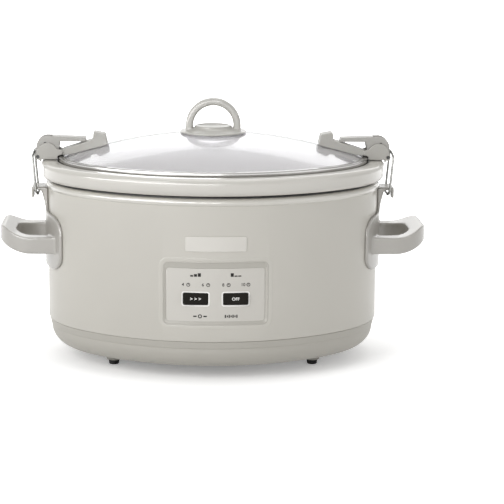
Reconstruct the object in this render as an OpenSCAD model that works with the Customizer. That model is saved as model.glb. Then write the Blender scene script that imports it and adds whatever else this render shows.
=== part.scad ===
// Oval slow cooker with a latching glass lid: heated base, lift-out stoneware crock, lid with two
// over-centre latches. Millimetres, +Z up, origin on the floor under the centre, front towards -Y.

/* [Housing] */
// Radius of the housing oval's two end arcs
end_r = 106; // [106:1:106]
// Height of the floor of the base pan
base_z = 13; // [12:1:15]
// Height of the lower edge of the steel wrap
wrap_z = 42.5; // [40:0.5:45]
// Height of the centre of the rolled bead
bead_z = 181.2; // [181.2:0.1:181.2]
// Sheet thickness of the steel wrap
wrap_t = 1.2; // [1:0.1:1.5]

/* [Crock] */
// Wall thickness of the stoneware
crock_t = 6; // [5:0.5:7]
// Height of the underside of the crock's floor
crock_z = 58; // [58:1:60]
// Radius of the round outer edge of the rim
rim_r = 8.5; // [8:0.25:9]

/* [Lid] */
// Height of the crown of the glass
dome_z = 234.5; // [233:0.5:236]
// Rise of the glass from its edge to its crown
dome_rise = 27.5; // [26:0.5:28]
// Power of the dome's section, 2 is a parabola
dome_power = 1.82; // [1.6:0.02:2]
// Glass thickness
glass_t = 4; // [3.5:0.5:4]
// Height of the top of the lid's handle
knob_z = 269; // [266:0.5:272]

/* [Latches] */
// Distance of the lever pin from the centre
pin_x = 180.8; // [180.5:0.1:181]
// Height of the lever pin
pin_z = 208.6; // [208.4:0.1:208.8]
// Distance of the bail's pivot from the centre
bail_x = 173.2; // [173:0.1:173.5]
// Height of the bail's pivot
bail_z = 222.2; // [222:0.1:222.4]
// Distance of the bail's hooked bar from the centre
bar_x = 180.8; // [180.7:0.1:180.9]
// Height of the bail's hooked bar
bar_z = 170.5; // [170.4:0.1:170.6]
// Wire radius of the bail
wire_r = 1.2; // [1:0.1:1.3]
// Width of the lever
lever_w = 16; // [15:0.5:16]

/* [Side handles] */
// Reach of the handles from the centre
grip_x = 219.7; // [216:0.1:222]
// Half the width over a handle's arms
grip_y = 51; // [48:1:54]
// Thickness of the grip, seen from above
grip_t = 16; // [14:0.5:18]
// Underside of the arms
arm_low = 114.5; // [112:0.5:116]
// Top of the arms
arm_top = 131.7; // [130:0.1:134]

/* [Controls] */
// Width of the control panel
panel_w = 97.5; // [95:0.5:98]
// Height of the control panel
panel_h = 53; // [50:1:54]
// Height of the panel's centre
panel_z = 89.6; // [89:0.1:91]
// Width of a button
button_w = 24.3; // [22:0.1:26]
// Height of a button
button_h = 11.5; // [10:0.1:13]
// Distance of each button from the middle
button_x = 19.7; // [18:0.1:21]
// Height of the buttons' centre
button_z = 85.7; // [85:0.1:87]

/* [Hidden] */
$fn = 120;

// The oval is four tangent arcs, so every inset of it is a true parallel curve. The arcs' centres
// lie on the axes at 65 and 72, and 97 is the slant between them, so the radii differ by 97.
end_c = 65;
side_c = 72;
side_r = end_r + 97;
half_l = end_c + end_r;
half_w = side_r - side_c;

// distances measured outwards from the housing wall, so inwards is negative
bead_d = -2;
bead_r = 4;
base_d = -23;
base_r = 20;
pan_d = -18;
crock_d = -20;
rim_d = 2;
corner_d = -42;
lid_d = -11;
glass_d = -13;

// heights
flange_z = bead_z + bead_r;
crock_lip_z = flange_z + 1.2;
ledge_z = 198.5;
rim_low_z = 188;
rim_top_z = rim_low_z + 2*rim_r;
rim_edge = 5;
lid_rim_z = 209.3;
corner_z = 80;

// lid handle
arch_r = 28.5;
arch_t = 7.8;
arch_z = knob_z - arch_r;
dish_r = 34;
dish_z = 233.1;

// latch
cheek_gap = 0.3;
cheek_t = 2.5;
cheek_y = lever_w/2 + cheek_gap;
lever_wall = 2.2;
pin_r = 1.6;
fit = 0.06;
block_x = 117;
block_w = 14.7;
block_top = 234.2;
catch_y = 14;
plate_x = 125;

// inside
board_y = 13.6 - half_w;
board_t = 1.6;
led_z = 99.8;
led_low_z = 68.3;
led_xs = [-29, -10, 10, 29];
led_low_xs = [-15, 15];
foot_x = 102;
foot_y = 51;
bolt_turn = 24;
handle_turn = 23.9;
handle_hole_z = 123;

// points along an arc, for outlines
function arc(x, y, r, from, to, n = 8) =
  [for (i = [0:n]) let (a = from + (to - from)*i/n) [x + r*cos(a), y + r*sin(a)]];

// point of the oval in the direction a, at a distance d out from the wall
function oval_point(a, d) =
  let (t = atan2(abs(sin(a)), abs(cos(a))), end = atan2(side_c, end_c),
       u = side_c*sin(t), v = end_c*cos(t), r = end_r + d, q = side_r + d,
       far = v + sqrt(v*v + r*r - end_c*end_c),
       on_end = far*cos(t) > end_c && atan2(far*sin(t), far*cos(t) - end_c) < end,
       reach = on_end ? far : -u + sqrt(u*u + q*q - side_c*side_c))
  [reach*cos(a), reach*sin(a), 0];

// height of the top of the glass at a share s of the way from crown to edge
function dome(s) = dome_z - dome_rise*pow(s, dome_power);

// height of the glass at a distance x along the length
function dome_at(x) = dome(x / (half_l + glass_d));

// sweeps a profile (x is the distance out from the wall, y the height) round the oval
module oval_sweep(sides = [-1, 1]) {
  for (s = [-1, 1]) intersection() {
    translate([s*end_c, 0, 0]) rotate_extrude() translate([end_r, 0]) children();
    linear_extrude(300) polygon([[s*end_c, 0], [s*5*end_c, -4*side_c], [s*5*end_c, 4*side_c]]);
  }
  for (s = sides) intersection() {
    translate([0, -s*side_c, 0]) rotate_extrude() translate([side_r, 0]) children();
    linear_extrude(300)
      polygon([[end_c, 0], [5*end_c, s*4*side_c], [-5*end_c, s*4*side_c], [-end_c, 0]]);
  }
}

// the flat oval at a distance d out from the wall
module oval(d = 0) {
  dx = 5*end_c;
  dy = 4*side_c;
  for (s = [-1, 1]) translate([s*end_c, 0]) circle(end_r + d);
  intersection() {
    translate([0, side_c]) circle(side_r + d);
    translate([0, -side_c]) circle(side_r + d);
    polygon([[end_c, 0], [dx, -dy], [-dx, -dy], [-end_c, 0], [-dx, dy], [dx, dy]]);
  }
}

// a quarter ring that joins a wall to a floor
module corner_ring(x, y, r, t) {
  intersection() {
    translate([x, y]) difference() {
      circle(r);
      circle(r - t);
    }
    translate([x, y - r]) square(r);
  }
}

// a rectangle with round corners about its centre
module rounded(w, h, r) {
  square([w - 2*r, h], center = true);
  square([w, h - 2*r], center = true);
  for (x = [-1, 1], y = [-1, 1]) translate([x*(w/2 - r), y*(h/2 - r)]) circle(r, $fn = 40);
}

// a prism through the front wall
module front_prism(w, h, r, z, near = -100, far = -150) {
  translate([0, near, z]) rotate([90, 0, 0]) linear_extrude(near - far) rounded(w, h, r);
}

// a plate bent to the front wall, from d_in to d_out off it
module front_tile(w, h, r, z, d_in, d_out) {
  intersection() {
    translate([0, side_c, z - h]) difference() {
      cylinder(r = side_r + d_out, h = 2*h);
      translate([0, 0, -1]) cylinder(r = side_r + d_in, h = 2*h + 2);
    }
    front_prism(w, h, r, z);
  }
}

// the two clearance windows for the buttons
module button_windows(gap) {
  for (s = [-1, 1]) translate([s*button_x, 0, 0])
    front_prism(button_w + 2*gap, button_h + 2*gap, 1.2 + gap, button_z);
}

// puts its children at both ends, the left one mirrored
module both_ends() {
  children();
  mirror([1, 0, 0]) children();
}

// places radial hardware for the side handles of the right end
module handle_fixings() {
  for (a = [-1, 1]) translate([end_c, 0, handle_hole_z])
    rotate([0, 0, a*handle_turn]) rotate([0, 90, 0]) children();
}

// places the four fixings that join the base pan to the wrap
module base_fixings() {
  for (s = [-1, 1]) {
    translate([s*(half_l - 9), 0, 0]) children();
    translate([0, -side_c, 0]) rotate(90 + s*bolt_turn) translate([side_r - 9, 0, 0]) children();
  }
}

// places the four feet
module feet() {
  for (x = [-1, 1], y = [-1, 1]) translate([x*foot_x, y*foot_y, 0]) children();
}

// a round rod between two points, which overruns each a little into its knuckle
module rod(a, b, r, over = 0.3) {
  v = b - a;
  translate(a) rotate([0, acos(v.z/norm(v)), atan2(v.y, v.x)])
    translate([0, 0, -over]) cylinder(r = r, h = norm(v) + 2*over, $fn = 24);
}

// ---- heated base ----

// sheet with its lower edge folded in and its upper edge rolled into a bead
module wrap_profile() {
  hem_d = -12;
  curl_end = 205;
  outer_start = -acos(-bead_d/bead_r);
  inner_start = -acos((-wrap_t - bead_d)/(bead_r - wrap_t));
  polygon(concat(
    [[0, wrap_z], [-wrap_t, wrap_z], [-wrap_t, wrap_z + 1.6], [hem_d, wrap_z + 1.6]],
    [[hem_d, wrap_z + 1.6 + wrap_t], [-wrap_t, wrap_z + 1.6 + wrap_t]],
    arc(bead_d, bead_z, bead_r - wrap_t, inner_start, curl_end, 16),
    arc(bead_d, bead_z, bead_r, curl_end, outer_start, 16)
  ));
}

module housing_wrap() {
  color([0.80, 0.79, 0.76]) difference() {
    oval_sweep() wrap_profile();
    front_prism(105, 64.4, 6, panel_z + 1.4);
    both_ends() handle_fixings() cylinder(r = 2.4, h = end_r + 5, $fn = 32);
    base_fixings() translate([0, 0, wrap_z]) cylinder(r = 1.6, h = 4, $fn = 32);
  }
}

module base_pan() {
  wall = 2.5;
  boss_top = wrap_z + 1.5;
  color([0.71, 0.70, 0.67]) difference() {
    union() {
      oval_sweep() {
        corner_ring(base_d, base_z + base_r, base_r, wall);
        polygon([
          [base_d + base_r - wall, base_z + base_r], [-3, base_z + base_r], [-3, 34.6], [-2.2, 35.4],
          [-0.5, wrap_z - 0.4], [-wrap_t - 0.2, wrap_z - 0.4], [-wrap_t - 0.2, wrap_z + 1.3],
          [-wrap_t - 2.2, wrap_z + 1.3], [-wrap_t - 3.2, 36], [base_d + base_r - wall, 35]
        ]);
      }
      translate([0, 0, base_z]) linear_extrude(wall) oval(base_d);
      feet() translate([0, 0, 5]) cylinder(r1 = 7.6, r2 = 8.6, h = 11, $fn = 48);
      base_fixings() translate([0, 0, 26]) cylinder(r = 4, h = boss_top - 26, $fn = 32);
      cylinder(r = 10, h = 34, $fn = 48);
      for (x = [-88, -32], y = [-18, 18]) translate([x, y, base_z]) cylinder(r = 3.5, h = 9, $fn = 24);
      translate([0, half_w - 10, 28]) rotate([-90, 0, 0]) cylinder(r = 10, h = 7.6, $fn = 48);
    }
    translate([0, 0, -1]) cylinder(r = 11, h = base_z + 1, $fn = 48);
    cylinder(r = 2.8, h = 40, $fn = 32);
    cylinder(r = 6.5, h = base_z + 6, $fn = 32);
    feet() cylinder(r = 3.1, h = 12, $fn = 32);
    base_fixings() {
      cylinder(r = 1.6, h = boss_top + 1, $fn = 32);
      cylinder(r = 3.3, h = 30, $fn = 32);
    }
    translate([0, half_w - 20, 28]) rotate([-90, 0, 0]) cylinder(r = 5.2, h = 20, $fn = 48);
    for (x = [-1, 1], y = [-2:2]) translate([x*48, y*11, base_z - 1])
      linear_extrude(wall + 2) rounded(34, 3.4, 1.6);
  }
}

module rubber_feet() {
  color([0.08, 0.08, 0.08]) feet() {
    cylinder(r1 = 5.2, r2 = 5.8, h = 5, $fn = 40);
    translate([0, 0, 4.9]) cylinder(r = 3, h = 6, $fn = 32);
  }
}

module base_screws() {
  color("silver") base_fixings() {
    translate([0, 0, 27.9]) cylinder(r = 3, h = 2.1, $fn = 32);
    translate([0, 0, 29.9]) cylinder(r = 1.5, h = 16.5, $fn = 32);
  }
}

module heating_pan() {
  t = 1;
  color([0.70, 0.71, 0.72]) difference() {
    union() {
      oval_sweep() {
        translate([pan_d - t, corner_z - 1]) square([t, flange_z + 0.9 - corner_z + 1]);
        translate([pan_d - t, flange_z]) square([-3 - pan_d + t, 0.9]);
        corner_ring(corner_d, corner_z - 1, pan_d - corner_d, t);
      }
      translate([0, 0, corner_z - 1 - (pan_d - corner_d)]) linear_extrude(t) oval(corner_d);
    }
  }
}

module heater_band() {
  color([0.55, 0.50, 0.42]) oval_sweep()
    translate([pan_d + 0.1, 86]) square([1.6, 40]);
}

module insulation_wrap() {
  color([0.93, 0.91, 0.85]) oval_sweep(sides = [1])
    translate([pan_d + 2, 84]) square([6.5, 44]);
}

module pan_bolt() {
  color("silver") {
    translate([0, 0, 54]) cylinder(r = 6, h = 0.9, $fn = 40);
    translate([0, 0, 13.6]) cylinder(r = 2.5, h = 40.5, $fn = 32);
  }
}

module pan_nut() {
  color("gray") translate([0, 0, 14.6]) difference() {
    cylinder(r = 5.2, h = 4.2, $fn = 6);
    translate([0, 0, -1]) cylinder(r = 2.56, h = 7, $fn = 32);
  }
}

module thermal_fuse() {
  color([0.85, 0.75, 0.45]) translate([40, 20, 51.4]) {
    rotate([0, 90, 0]) cylinder(r = 2, h = 12, $fn = 32);
    for (x = [3, 7]) translate([x, -4, -0.8]) cube([2, 8, 4.2]);
  }
}

module control_bezel() {
  z = panel_z + 1.4;
  color([0.73, 0.72, 0.68]) difference() {
    union() {
      front_tile(104.4, 63.8, 5.7, z, -5.5, 0.2);
      front_tile(112, 70, 7, z, -3.4, -wrap_t - 0.1);
      for (x = [-43, 43], dz = [-19, 19]) translate([x, 9.2 - half_w, z + dz])
        rotate([-90, 0, 0]) cylinder(r = 3, h = board_y - 9.25 + half_w, $fn = 24);
    }
    front_tile(101.6, 61, 4.3, z, -3.5, 1);
    button_windows(0.35);
    for (x = led_xs) translate([x, -100, led_z]) rotate([90, 0, 0]) cylinder(r = 1.8, h = 40, $fn = 24);
    for (x = led_low_xs) translate([x, -100, led_low_z])
      rotate([90, 0, 0]) cylinder(r = 1.8, h = 40, $fn = 24);
  }
}

module control_panel() {
  color([0.81, 0.80, 0.77]) difference() {
    front_tile(panel_w, panel_h, 3.6, panel_z, -3.4, -0.9);
    button_windows(0.35);
  }
}

module button(x) {
  face = 0.8 - half_w;
  rear = face + 8.5;
  color([0.18, 0.17, 0.15]) translate([x, 0, 0]) {
    front_prism(button_w, button_h, 1.2, button_z, near = rear - 0.2, far = face);
    front_prism(button_w + 3.4, button_h + 3.4, 1.6, button_z, near = rear, far = rear - 0.8);
  }
}

module button_select() {
  button(-button_x);
}

module button_off() {
  button(button_x);
}

module control_board() {
  color([0.10, 0.35, 0.20]) {
    translate([-46, board_y, panel_z - 21.5]) cube([92, board_t, 46]);
    translate([-6, board_y - 1.4, panel_z + 13]) cube([12, 1.6, 9]);
    translate([-44, board_y - 3, panel_z - 9]) cube([6, 3.2, 14]);
  }
}

module tact_switches() {
  color([0.15, 0.15, 0.15]) for (x = [-1, 1]) translate([x*button_x - 3, board_y - 3, button_z - 3]) {
    translate([0, 0.3, 0]) cube([6, 2.65, 6]);
    translate([3, 0.4, 3]) rotate([90, 0, 0]) cylinder(r = 1.5, h = 0.5, $fn = 24);
  }
}

module indicator_leds() {
  color([0.95, 0.45, 0.20]) {
    for (x = led_xs) translate([x, board_y - 0.05, led_z]) rotate([90, 0, 0]) led();
    for (x = led_low_xs) translate([x, board_y - 0.05, led_low_z]) rotate([90, 0, 0]) led();
  }
}

module led() {
  cylinder(r = 1.5, h = 4, $fn = 24);
  translate([0, 0, 4]) sphere(r = 1.5, $fn = 24);
}

module power_board() {
  color([0.45, 0.30, 0.12]) translate([-95, -25, base_z + 9.1]) {
    cube([70, 50, 1.6]);
    translate([6, 6, 1.5]) cube([19, 15, 15]);
    translate([34, 8, 1.5]) cube([28, 24, 20]);
    translate([8, 32, 1.5]) cylinder(r = 6, h = 14, $fn = 32);
    translate([26, 40, 1.5]) cube([30, 6, 9]);
  }
}

module cord_gland() {
  color([0.15, 0.15, 0.15]) translate([0, half_w - 2.3, 28]) rotate([-90, 0, 0]) difference() {
    union() {
      cylinder(r1 = 8.5, r2 = 7.5, h = 2.5, $fn = 48);
      translate([0, 0, -13]) cylinder(r = 5, h = 13.1, $fn = 48);
      translate([0, 0, -13]) cylinder(r = 7.5, h = 3, $fn = 48);
    }
    translate([0, 0, -14]) cylinder(r = 3.6, h = 20, $fn = 48);
  }
}

// ---- side handles with the catches for the latches ----

// outline of the mounting plate on the rounded end, as width and height
module plate_outline() {
  side = concat(
    [[catch_y, 172.4], [catch_y + 1, 161], [19, 155.8], [27, 153.6]],
    arc(42, 135, 18, 84, 0, 8),
    arc(44, 113.5, 15.9, 0, -90, 8)
  );
  polygon(concat(side, [for (i = [len(side) - 1:-1:0]) [-side[i].x, side[i].y]]));
}

// plan of the loop: two arms and the grip across them
module loop_plan(x_out, y_out, r) {
  x_in = end_c;
  translate([x_in, -y_out]) square([x_out - r - x_in, 2*y_out]);
  translate([x_in, -y_out + r]) square([x_out - x_in, 2*(y_out - r)]);
  for (s = [-1, 1]) translate([x_out - r, s*(y_out - r)]) circle(r);
}

// side view of the loop, which sweeps up towards the grip
module loop_side() {
  bend_x = 186;
  bend_r = 56.3;
  rise_x = 189;
  rise_r = 34;
  rise_a = 28;
  top_x = rise_x + rise_r*sin(rise_a);
  top_z = arm_top + rise_r*(1 - cos(rise_a));
  polygon(concat(
    [[plate_x, arm_low]],
    arc(bend_x, arm_low + bend_r, bend_r, -90, -53, 8),
    [[grip_x + 1, 136]],
    arc(grip_x - 4, 137, 4, 0, 118, 6),
    [[top_x, top_z]],
    arc(rise_x, arm_top + rise_r, rise_r, -90 + rise_a, -90, 6),
    [[plate_x, arm_top]]
  ));
}

// hook that the bail's bar pulls up into
module catch_profile() {
  polygon([
    [plate_x, 176.4], [172.6, 176.4], [173.4, 177.9], [187.2, 177.9], [187.6, 177.3], [187.6, 167.3],
    [187, 166.7], [185, 166.7], [184.5, 167.3], [184.5, 173.7], [183.8, 174.5], [178.4, 174.5],
    [177, 173.1], [176.4, 170.7], [174.2, 162], [172.6, 152], [plate_x, 152]
  ]);
}

module side_handle() {
  plate_t = 3;
  color([0.72, 0.71, 0.69]) difference() {
    union() {
      intersection() {
        translate([end_c, 0, 80]) cylinder(r = end_r + 0.1 + plate_t, h = 100);
        translate([end_c + 20, 0, 0]) rotate([90, 0, 90]) linear_extrude(100) plate_outline();
      }
      intersection() {
        linear_extrude(200) difference() {
          loop_plan(grip_x, grip_y, 36);
          translate([0, 0]) loop_plan(grip_x - grip_t, grip_y - grip_t, 24);
        }
        translate([0, 100, 0]) rotate([90, 0, 0]) linear_extrude(200) loop_side();
      }
      translate([0, catch_y, 0]) rotate([90, 0, 0]) linear_extrude(2*catch_y) catch_profile();
      handle_fixings() translate([0, 0, end_r + 0.2]) cylinder(r = 5, h = 8, $fn = 32);
    }
    translate([end_c, 0, 70]) cylinder(r = end_r + 0.1, h = 130);
    handle_fixings() translate([0, 0, end_r - 5]) cylinder(r = 1.7, h = 14.8, $fn = 32);
  }
}

module handle_right() {
  side_handle();
}

module handle_left() {
  mirror([1, 0, 0]) side_handle();
}

module handle_screws() {
  color("silver") both_ends() handle_fixings() {
    translate([0, 0, end_r - wrap_t - 2.2]) cylinder(r = 4, h = 2.1, $fn = 32);
    translate([0, 0, end_r - wrap_t - 0.2]) cylinder(r = 1.65, h = 10.6, $fn = 32);
  }
}

// ---- stoneware crock ----

module crock() {
  inner_d = crock_d - crock_t;
  color([0.89, 0.88, 0.85]) {
    oval_sweep() {
      translate([inner_d, corner_z]) square([crock_t, ledge_z - corner_z]);
      corner_ring(corner_d, corner_z, crock_d - corner_d, crock_t);
      translate([inner_d, crock_lip_z]) square([-7 - inner_d, ledge_z - crock_lip_z]);
      for (z = [rim_low_z + rim_edge, rim_top_z - rim_edge]) translate([rim_d, z]) circle(rim_edge, $fn = 64);
      polygon([
        [lid_d + 0.5, ledge_z - 1], [lid_d + 0.5, rim_top_z - 2], [lid_d + 2.5, rim_top_z],
        [rim_d, rim_top_z], [rim_d, rim_top_z - rim_edge], [rim_d + rim_edge, rim_top_z - rim_edge],
        [rim_d + rim_edge, rim_low_z + rim_edge], [rim_d, rim_low_z + rim_edge], [rim_d, rim_low_z],
        [-9, rim_low_z], [-9, ledge_z - 1]
      ]);
      translate([corner_d - 7, crock_z - 1.5]) square([5, 2]);
    }
    translate([0, 0, crock_z]) linear_extrude(crock_t) oval(corner_d);
  }
}

// ---- lid ----

// oval dome of even wall, as rings that shrink from the edge to the crown
module glass_shell() {
  n = 72;
  rings = [0.12, 0.24, 0.36, 0.48, 0.59, 0.69, 0.78, 0.86, 0.93, 1];
  m = len(rings);
  top = [for (s = rings, k = [0:n - 1]) let (a = k*360/n)
    s*oval_point(a, glass_d) + [0, 0, dome(s)]];
  low = [for (p = top) p - [0, 0, glass_t]];
  crown = 2*m*n;
  points = concat(top, low, [[0, 0, dome_z], [0, 0, dome_z - glass_t]]);
  faces = concat(
    [for (k = [0:n - 1]) [crown, (k + 1)%n, k]],
    [for (k = [0:n - 1]) [crown + 1, m*n + k, m*n + (k + 1)%n]],
    [for (i = [0:m - 2], k = [0:n - 1]) let (a = i*n + k, b = i*n + (k + 1)%n) [a, b, b + n, a + n]],
    [for (i = [m:2*m - 2], k = [0:n - 1]) let (a = i*n + k, b = i*n + (k + 1)%n) [a + n, b + n, b, a]],
    [for (k = [0:n - 1]) let (a = (m - 1)*n + k, b = (m - 1)*n + (k + 1)%n) [a, b, b + m*n, a + m*n]]
  );
  polyhedron(points, faces);
}

module lid_glass() {
  color([0.9, 0.93, 0.95, 0.5]) difference() {
    glass_shell();
    cylinder(r = 3.5, h = 300, $fn = 32);
    for (s = [-1, 1]) translate([s*block_x, 0, 0]) cylinder(r = 2.4, h = 300, $fn = 32);
  }
}

module lid_rim() {
  t = 1;
  low = 200.6;
  color([0.74, 0.74, 0.73]) oval_sweep() polygon(concat(
    [[lid_d - 5, low], [lid_d, low]],
    arc(lid_d - 1.4, lid_rim_z - 1.4, 1.4, 0, 90, 5),
    [[lid_d - 5, lid_rim_z], [lid_d - 5, lid_rim_z - t], [lid_d - t, lid_rim_z - t]],
    [[lid_d - t, low + t], [lid_d - 5, low + t]]
  ));
}

module lid_gasket() {
  color([0.80, 0.80, 0.80]) oval_sweep() polygon([
    [-22, 198.8], [-13, 198.8], [-13, 200.5], [-16.4, 200.5], [-16.4, 203], [-18.8, 203],
    [-18.8, 200.5], [-22, 200.2]
  ]);
}

module lid_handle() {
  section = [arch_t, 10];
  color([0.73, 0.72, 0.70]) difference() {
    union() {
      translate([0, 0, arch_z]) rotate([90, 0, 0]) rotate([0, 0, 0])
        rotate_extrude(angle = 180) translate([arch_r - arch_t/2, 0]) rounded(section.x, section.y, 2.6);
      for (s = [-1, 1]) translate([s*(arch_r - arch_t/2), 0, dish_z + 1.8])
        linear_extrude(arch_z - dish_z - 1.8) rounded(section.x, section.y, 2.6);
      rotate_extrude() polygon(concat(
        [[0, dome_z + 0.3], [14, dome_z + 0.2], [dish_r - 1, dish_z]],
        [[dish_r + 0.5, dish_z + 0.9], [dish_r + 0.3, dish_z + 1.9]],
        arc(30, 255, 19.7, -80, -123, 8),
        arc(18.1, 239.6, 1.2, 10, 160, 6),
        arc(0, 293.9, 56.9, -72.6, -90, 6)
      ));
    }
    translate([0, 0, dome_z - 1]) cylinder(r = 1.7, h = 3.4, $fn = 32);
  }
}

module lid_handle_washer() {
  color([0.2, 0.2, 0.2]) translate([0, 0, dome_z - glass_t - 1.7]) difference() {
    cylinder(r = 9, h = 1.1, $fn = 48);
    translate([0, 0, -1]) cylinder(r = 2.4, h = 4, $fn = 32);
  }
}

module lid_handle_screw() {
  head_z = dome_z - glass_t - 4;
  color("silver") {
    translate([0, 0, head_z]) cylinder(r = 4.5, h = 2.2, $fn = 40);
    translate([0, 0, head_z]) cylinder(r = 1.65, h = 8.3, $fn = 32);
  }
}

// ---- latches, drawn at the right end ----

// outline of a cheek: a disc, the lobe round the pin and the foot towards the arm
module cheek_outline() {
  difference() {
    translate([171, 212]) circle(11, $fn = 80);
    translate([150, 190]) square([27, 15.9]);
  }
  translate([pin_x, pin_z - 0.1]) circle(3, $fn = 40);
  polygon([
    [pin_x - 2.6, pin_z - 2.5], [pin_x, pin_z - 3], [pin_x + 2.9, pin_z + 0.6], [180.5, 217.5],
    [171, 222], [161, 217], [155.5, 215.2], [155.5, 211.2], [160.5, 209.4], [163, 206]
  ]);
}

// outline of the arm that reaches over the lid rim to its block on the glass
module arm_outline() {
  inner = block_x - block_w/2;
  outer = block_x + block_w/2;
  polygon([
    [outer, dome_at(outer) + 0.3], [132, dome_at(132) + 0.3], [140, dome_at(140) + 0.3],
    [147, dome_at(147) + 0.5], [154, 210.4], [160.5, 209.8], [160.5, 213.4], [154, 216.6],
    [140, 221.2], [132, 223.8], [outer, 226.2], [outer - 0.7, block_top - 1], [outer - 1.8, block_top],
    [inner + 2.3, block_top - 2], [inner + 1.3, block_top - 3], [inner - 0.8, block_top - 12],
    [inner, dome_at(inner) + 0.3]
  ]);
}

module latch_base() {
  color([0.69, 0.68, 0.66]) difference() {
    union() {
      for (s = [-1, 1]) translate([0, s*(cheek_y + cheek_t/2) + cheek_t/2, 0])
        rotate([90, 0, 0]) linear_extrude(cheek_t) cheek_outline();
      difference() {
        translate([0, cheek_y + 0.8, 0]) rotate([90, 0, 0]) linear_extrude(2*cheek_y + 1.6) arm_outline();
        translate([pin_x, 0, pin_z]) rotate([90, 0, 0])
          cylinder(r = 22.6, h = lever_w + 0.6, center = true);
      }
    }
    translate([pin_x, 0, pin_z]) rotate([90, 0, 0]) cylinder(r = pin_r, h = 40, center = true, $fn = 40);
    translate([block_x, 0, 200]) cylinder(r = 1.5, h = 28, $fn = 32);
  }
}

module latch_base_right() {
  latch_base();
}

module latch_base_left() {
  mirror([1, 0, 0]) latch_base();
}

module latch_pads() {
  color([0.06, 0.06, 0.06]) both_ends() intersection() {
    translate([end_c, 0, 204.9]) difference() {
      cylinder(r = end_r + lid_d + 1.1, h = 4.8);
      translate([0, 0, -1]) cylinder(r = end_r + lid_d + 0.1, h = 5.5);
      cylinder(r = end_r + lid_d - 4, h = 10);
    }
    translate([150, -8, 200]) cube([20, 16, 20]);
  }
}

module latch_screws() {
  head_z = dome_at(block_x) - glass_t - 3.4;
  color("silver") both_ends() translate([block_x, 0, head_z]) {
    cylinder(r = 3.5, h = 2, $fn = 32);
    cylinder(r = 1.45, h = 15.5, $fn = 32);
  }
}

module lever_pins() {
  color("silver") both_ends() translate([pin_x, 0, pin_z]) rotate([90, 0, 0])
    cylinder(r = pin_r, h = 2*(cheek_y + cheek_t) + 0.4, center = true, $fn = 40);
}

// side wall of the lever: a long bar with a deep root round the pin and the bail's pivot
module lever_outline() {
  polygon(concat(
    [[131.2, 224.4], [131.6, 228], [132.4, 228.4], [169, 229.7]],
    arc(171.3, 218.6, 11.2, 88, 0, 8),
    arc(pin_x - 0.2, pin_z, 3.2, 20, -110, 8),
    [[170, 206.4], [163, 211], [159, 216.6], [158, 224.2]]
  ));
}

module latch_lever() {
  color([0.85, 0.85, 0.83]) difference() {
    translate([0, lever_w/2, 0]) rotate([90, 0, 0]) linear_extrude(lever_w) lever_outline();
    difference() {
      translate([100, -lever_w/2 + lever_wall, 190]) cube([100, lever_w - 2*lever_wall, 60]);
      translate([100, -20, 226.8]) cube([66, 40, 10]);
      translate([100, -20, 218]) cube([33.4, 40, 20]);
    }
    translate([pin_x, 0, pin_z]) rotate([90, 0, 0])
      cylinder(r = pin_r + fit, h = 40, center = true, $fn = 40);
    translate([bail_x, 0, bail_z]) rotate([90, 0, 0])
      cylinder(r = wire_r + fit, h = 40, center = true, $fn = 40);
  }
}

module latch_lever_right() {
  latch_lever();
}

module latch_lever_left() {
  mirror([1, 0, 0]) latch_lever();
}

// half of the bent wire, from its end in the lever's wall to the corner of the hooked bar
function half_bail(s) = [
  [bail_x, s*(lever_w/2 - 0.4), bail_z], [bail_x, s*3.9, bail_z], [184.9, s*4.1, 213.6],
  [185.6, s*16.6, 210.2], [182.6, s*17.2, 174.6], [bar_x, s*15, bar_z]
];

module latch_bail() {
  path = concat(half_bail(1), [for (i = [len(half_bail(1)) - 1:-1:0]) half_bail(-1)[i]]);
  knuckle = wire_r + 0.04;
  color([0.72, 0.73, 0.74]) {
    for (i = [0:len(path) - 2]) rod(path[i], path[i + 1], wire_r);
    for (i = [1:len(path) - 2]) translate(path[i]) sphere(knuckle, $fn = 24);
  }
}

module latch_bail_right() {
  latch_bail();
}

module latch_bail_left() {
  mirror([1, 0, 0]) latch_bail();
}

housing_wrap();
base_pan();
rubber_feet();
base_screws();
heating_pan();
heater_band();
insulation_wrap();
pan_bolt();
pan_nut();
thermal_fuse();
control_bezel();
control_panel();
control_board();
tact_switches();
indicator_leds();
power_board();
cord_gland();
handle_left();
handle_right();
handle_screws();
button_select();
button_off();
crock();
lid_glass();
lid_rim();
lid_gasket();
lid_handle();
lid_handle_washer();
lid_handle_screw();
latch_base_left();
latch_base_right();
latch_pads();
latch_screws();
lever_pins();
latch_lever_left();
latch_lever_right();
latch_bail_left();
latch_bail_right();
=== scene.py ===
"""Looks of an oval slow cooker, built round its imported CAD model.

Each sub-assembly is a class that builds its own pieces and dresses them. Lengths are in metres,
apart from names that end in _mm.
"""

import logging
import math
from dataclasses import dataclass, field
from enum import Enum
from typing import Any, Iterable, Sequence

import bmesh
import bpy
from bpy.types import Curve, Material, Mesh, Node, NodeSocket, NodeTree, Object
from mathutils import Matrix, Vector


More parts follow.
